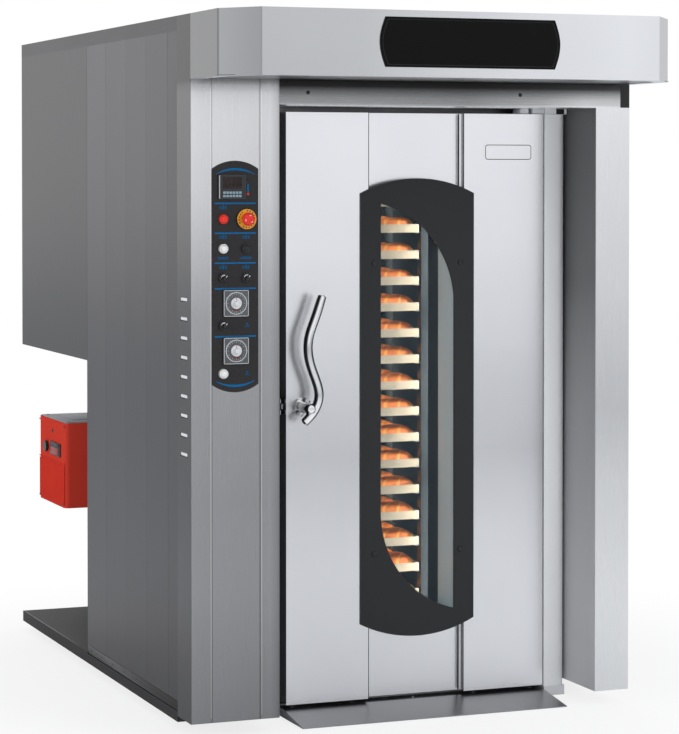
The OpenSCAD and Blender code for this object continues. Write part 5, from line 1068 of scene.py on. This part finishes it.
tray_metal = steel("seasoned_tray_metal", (0.40, 0.37, 0.30), roughness=0.5, grain="X", metallic=0.3,
                   cloud=0.2)
tray_feet = [219.0 + 85.0 * level for level in range(18)]
shape = bmesh.new()
for z in tray_feet:
    low, high = oven(531.0, 446.0, z), oven(929.0, 1044.0, z + 27.0)
    part = bmesh.new()
    place = Matrix.Translation((low + high) / 2.0) @ Matrix.Diagonal((*(high - low), 1.0))
    bmesh.ops.create_cube(part, size=1.0, matrix=place)
    part.faces.ensure_lookup_table()
    top = max(part.faces, key=lambda face: face.calc_center_median().z)
    bmesh.ops.inset_individual(part, faces=[top], thickness=0.0042, use_even_offset=True)
    bmesh.ops.translate(part, verts=top.verts, vec=(0.0, 0.0, -0.0022))
    bmesh.ops.inset_individual(part, faces=[top], thickness=0.0012, use_even_offset=True)
    bmesh.ops.translate(part, verts=top.verts, vec=(0.0, 0.0, -0.0228))
    upright = [edge for edge in part.edges if abs(edge.verts[0].co.z - edge.verts[1].co.z) > 0.02]
    bmesh.ops.bevel(part, geom=upright, offset=0.006, offset_type="OFFSET", affect="EDGES", segments=3,
                    profile=0.5, material=-1, clamp_overlap=True)
    mesh = bpy.data.meshes.new("part")
    part.to_mesh(mesh)
    part.free()
    shape.from_mesh(mesh)
    bpy.data.meshes.remove(mesh)
bmesh.ops.recalc_face_normals(shape, faces=shape.faces)
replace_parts(piece("baking_trays", shape, tray_metal, "rack"), "rack_trays")


def crust(name):
    """Baked crust: golden and brown in uneven patches, pale slashes across and fine cracks."""
    made, add, where = new_material(name)
    loaf = add("UVMap", uv_map="loaf").outputs[0]
    turn = add("Mapping", {"Vector": loaf, "Rotation": (0.0, 0.0, math.radians(28.0))})
    slashes = add("TexWave", {"Vector": turn.outputs[0], "Scale": 1.4, "Distortion": 1.2, "Detail": 1.0},
                  wave_type="BANDS", bands_direction="X")
    cuts = ranged(add, slashes.outputs["Fac"], 0.0, 1.0, 0.80, 0.97, interpolation_type="SMOOTHSTEP")
    bake = add("ValToRGB", {"Fac": noise(add, where, 34.0, 7.0)})
    grade(bake, [(0.32, (0.56, 0.115, 0.012)), (0.72, (0.86, 0.27, 0.030))])
    cracks = add("TexVoronoi", {"Vector": where, "Scale": 120.0}, feature="DISTANCE_TO_EDGE")
    return finished(made, add, {
        "Roughness": 0.62, "Base Color": blend(add, cuts, bake.outputs["Color"], (0.96, 0.38, 0.065, 1.0)),
        "Normal": bump(add, cracks.outputs["Distance"], 0.5, 0.002)})


loaf = bmesh.new()
bmesh.ops.create_uvsphere(loaf, u_segments=20, v_segments=14, radius=1.0)
bmesh.ops.rotate(loaf, verts=loaf.verts, cent=(0, 0, 0), matrix=Matrix.Rotation(math.radians(90.0), 3, "Y"))
cut = bmesh.ops.bisect_plane(loaf, geom=loaf.verts[:] + loaf.edges[:] + loaf.faces[:], dist=1e-4,
                             plane_co=(0, 0, -0.12), plane_no=(0, 0, 1), clear_inner=True)
cut_edges = [item for item in cut["geom_cut"] if isinstance(item, bmesh.types.BMEdge)]
bmesh.ops.edgeloop_fill(loaf, edges=cut_edges)
for vert in loaf.verts:
    x, y, z = vert.co
    height = max(0.0, (z + 0.12) / 1.12) ** 0.42
    wave = 1.0 - 0.07 * (1.0 + math.sin(7.0 * x + 1.3)) * height
    vert.co = (math.copysign(abs(x) ** 0.6, x) * 0.096, math.copysign(abs(y) ** 0.56, y) * 0.067,
               height * wave * 0.052)
uv = loaf.loops.layers.uv.new("loaf")
for face in loaf.faces:
    for loop in face.loops:
        loop[uv].uv = (loop.vert.co.x / 0.192 + 0.5, loop.vert.co.y / 0.134 + 0.5)
one_loaf = bpy.data.meshes.new("one_loaf")
loaf.to_mesh(one_loaf)
loaf.free()
shape = bmesh.new()
for level, z in enumerate(tray_feet):
    for column in (-1, 1):
        for row in range(4):
            before = len(shape.verts)
            shape.from_mesh(one_loaf)
            wobble = math.sin(level * 12.9 + column * 4.1 + row * 7.7)
            swell = 1.0 + 0.04 * math.sin(level * 3.1 + row * 5.3 + column)
            place = Matrix.Translation(oven(730.0 + column * 99.5, 745.0 + (row - 1.5) * 148.75, z + 1.6))
            turn = Matrix.Rotation(math.radians(3.0 * wobble), 4, "Z")
            shape.verts.ensure_lookup_table()
            bmesh.ops.transform(shape, matrix=place @ turn @ Matrix.Diagonal((1.0, 1.0, swell - 0.04, 1.0)),
                                verts=shape.verts[before:])
bpy.data.meshes.remove(one_loaf)
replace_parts(piece("bread", shape, crust("bread_crust"), "rack", crease=60.0), "bread_loaves")

shape = bmesh.new()
for x in (560.5, 899.5):
    for y in (506.0, 984.0):
        turned(shape, [(0.0, -15.0), (7.0, -15.0), (9.0, -13.0), (26.0, -13.0), (30.0, -14.0), (42.5, -14.0),
                       (45.0, -11.0), (45.0, 11.0), (42.5, 14.0), (30.0, 14.0), (26.0, 13.0), (9.0, 13.0),
                       (7.0, 15.0), (0.0, 15.0)], (x, y, 87.0), (1, 0, 0), steps=40)
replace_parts(piece("caster_tyres", shape, rubber("wheel_rubber", (0.03, 0.03, 0.032)), "rack"),
            "caster_wheels")
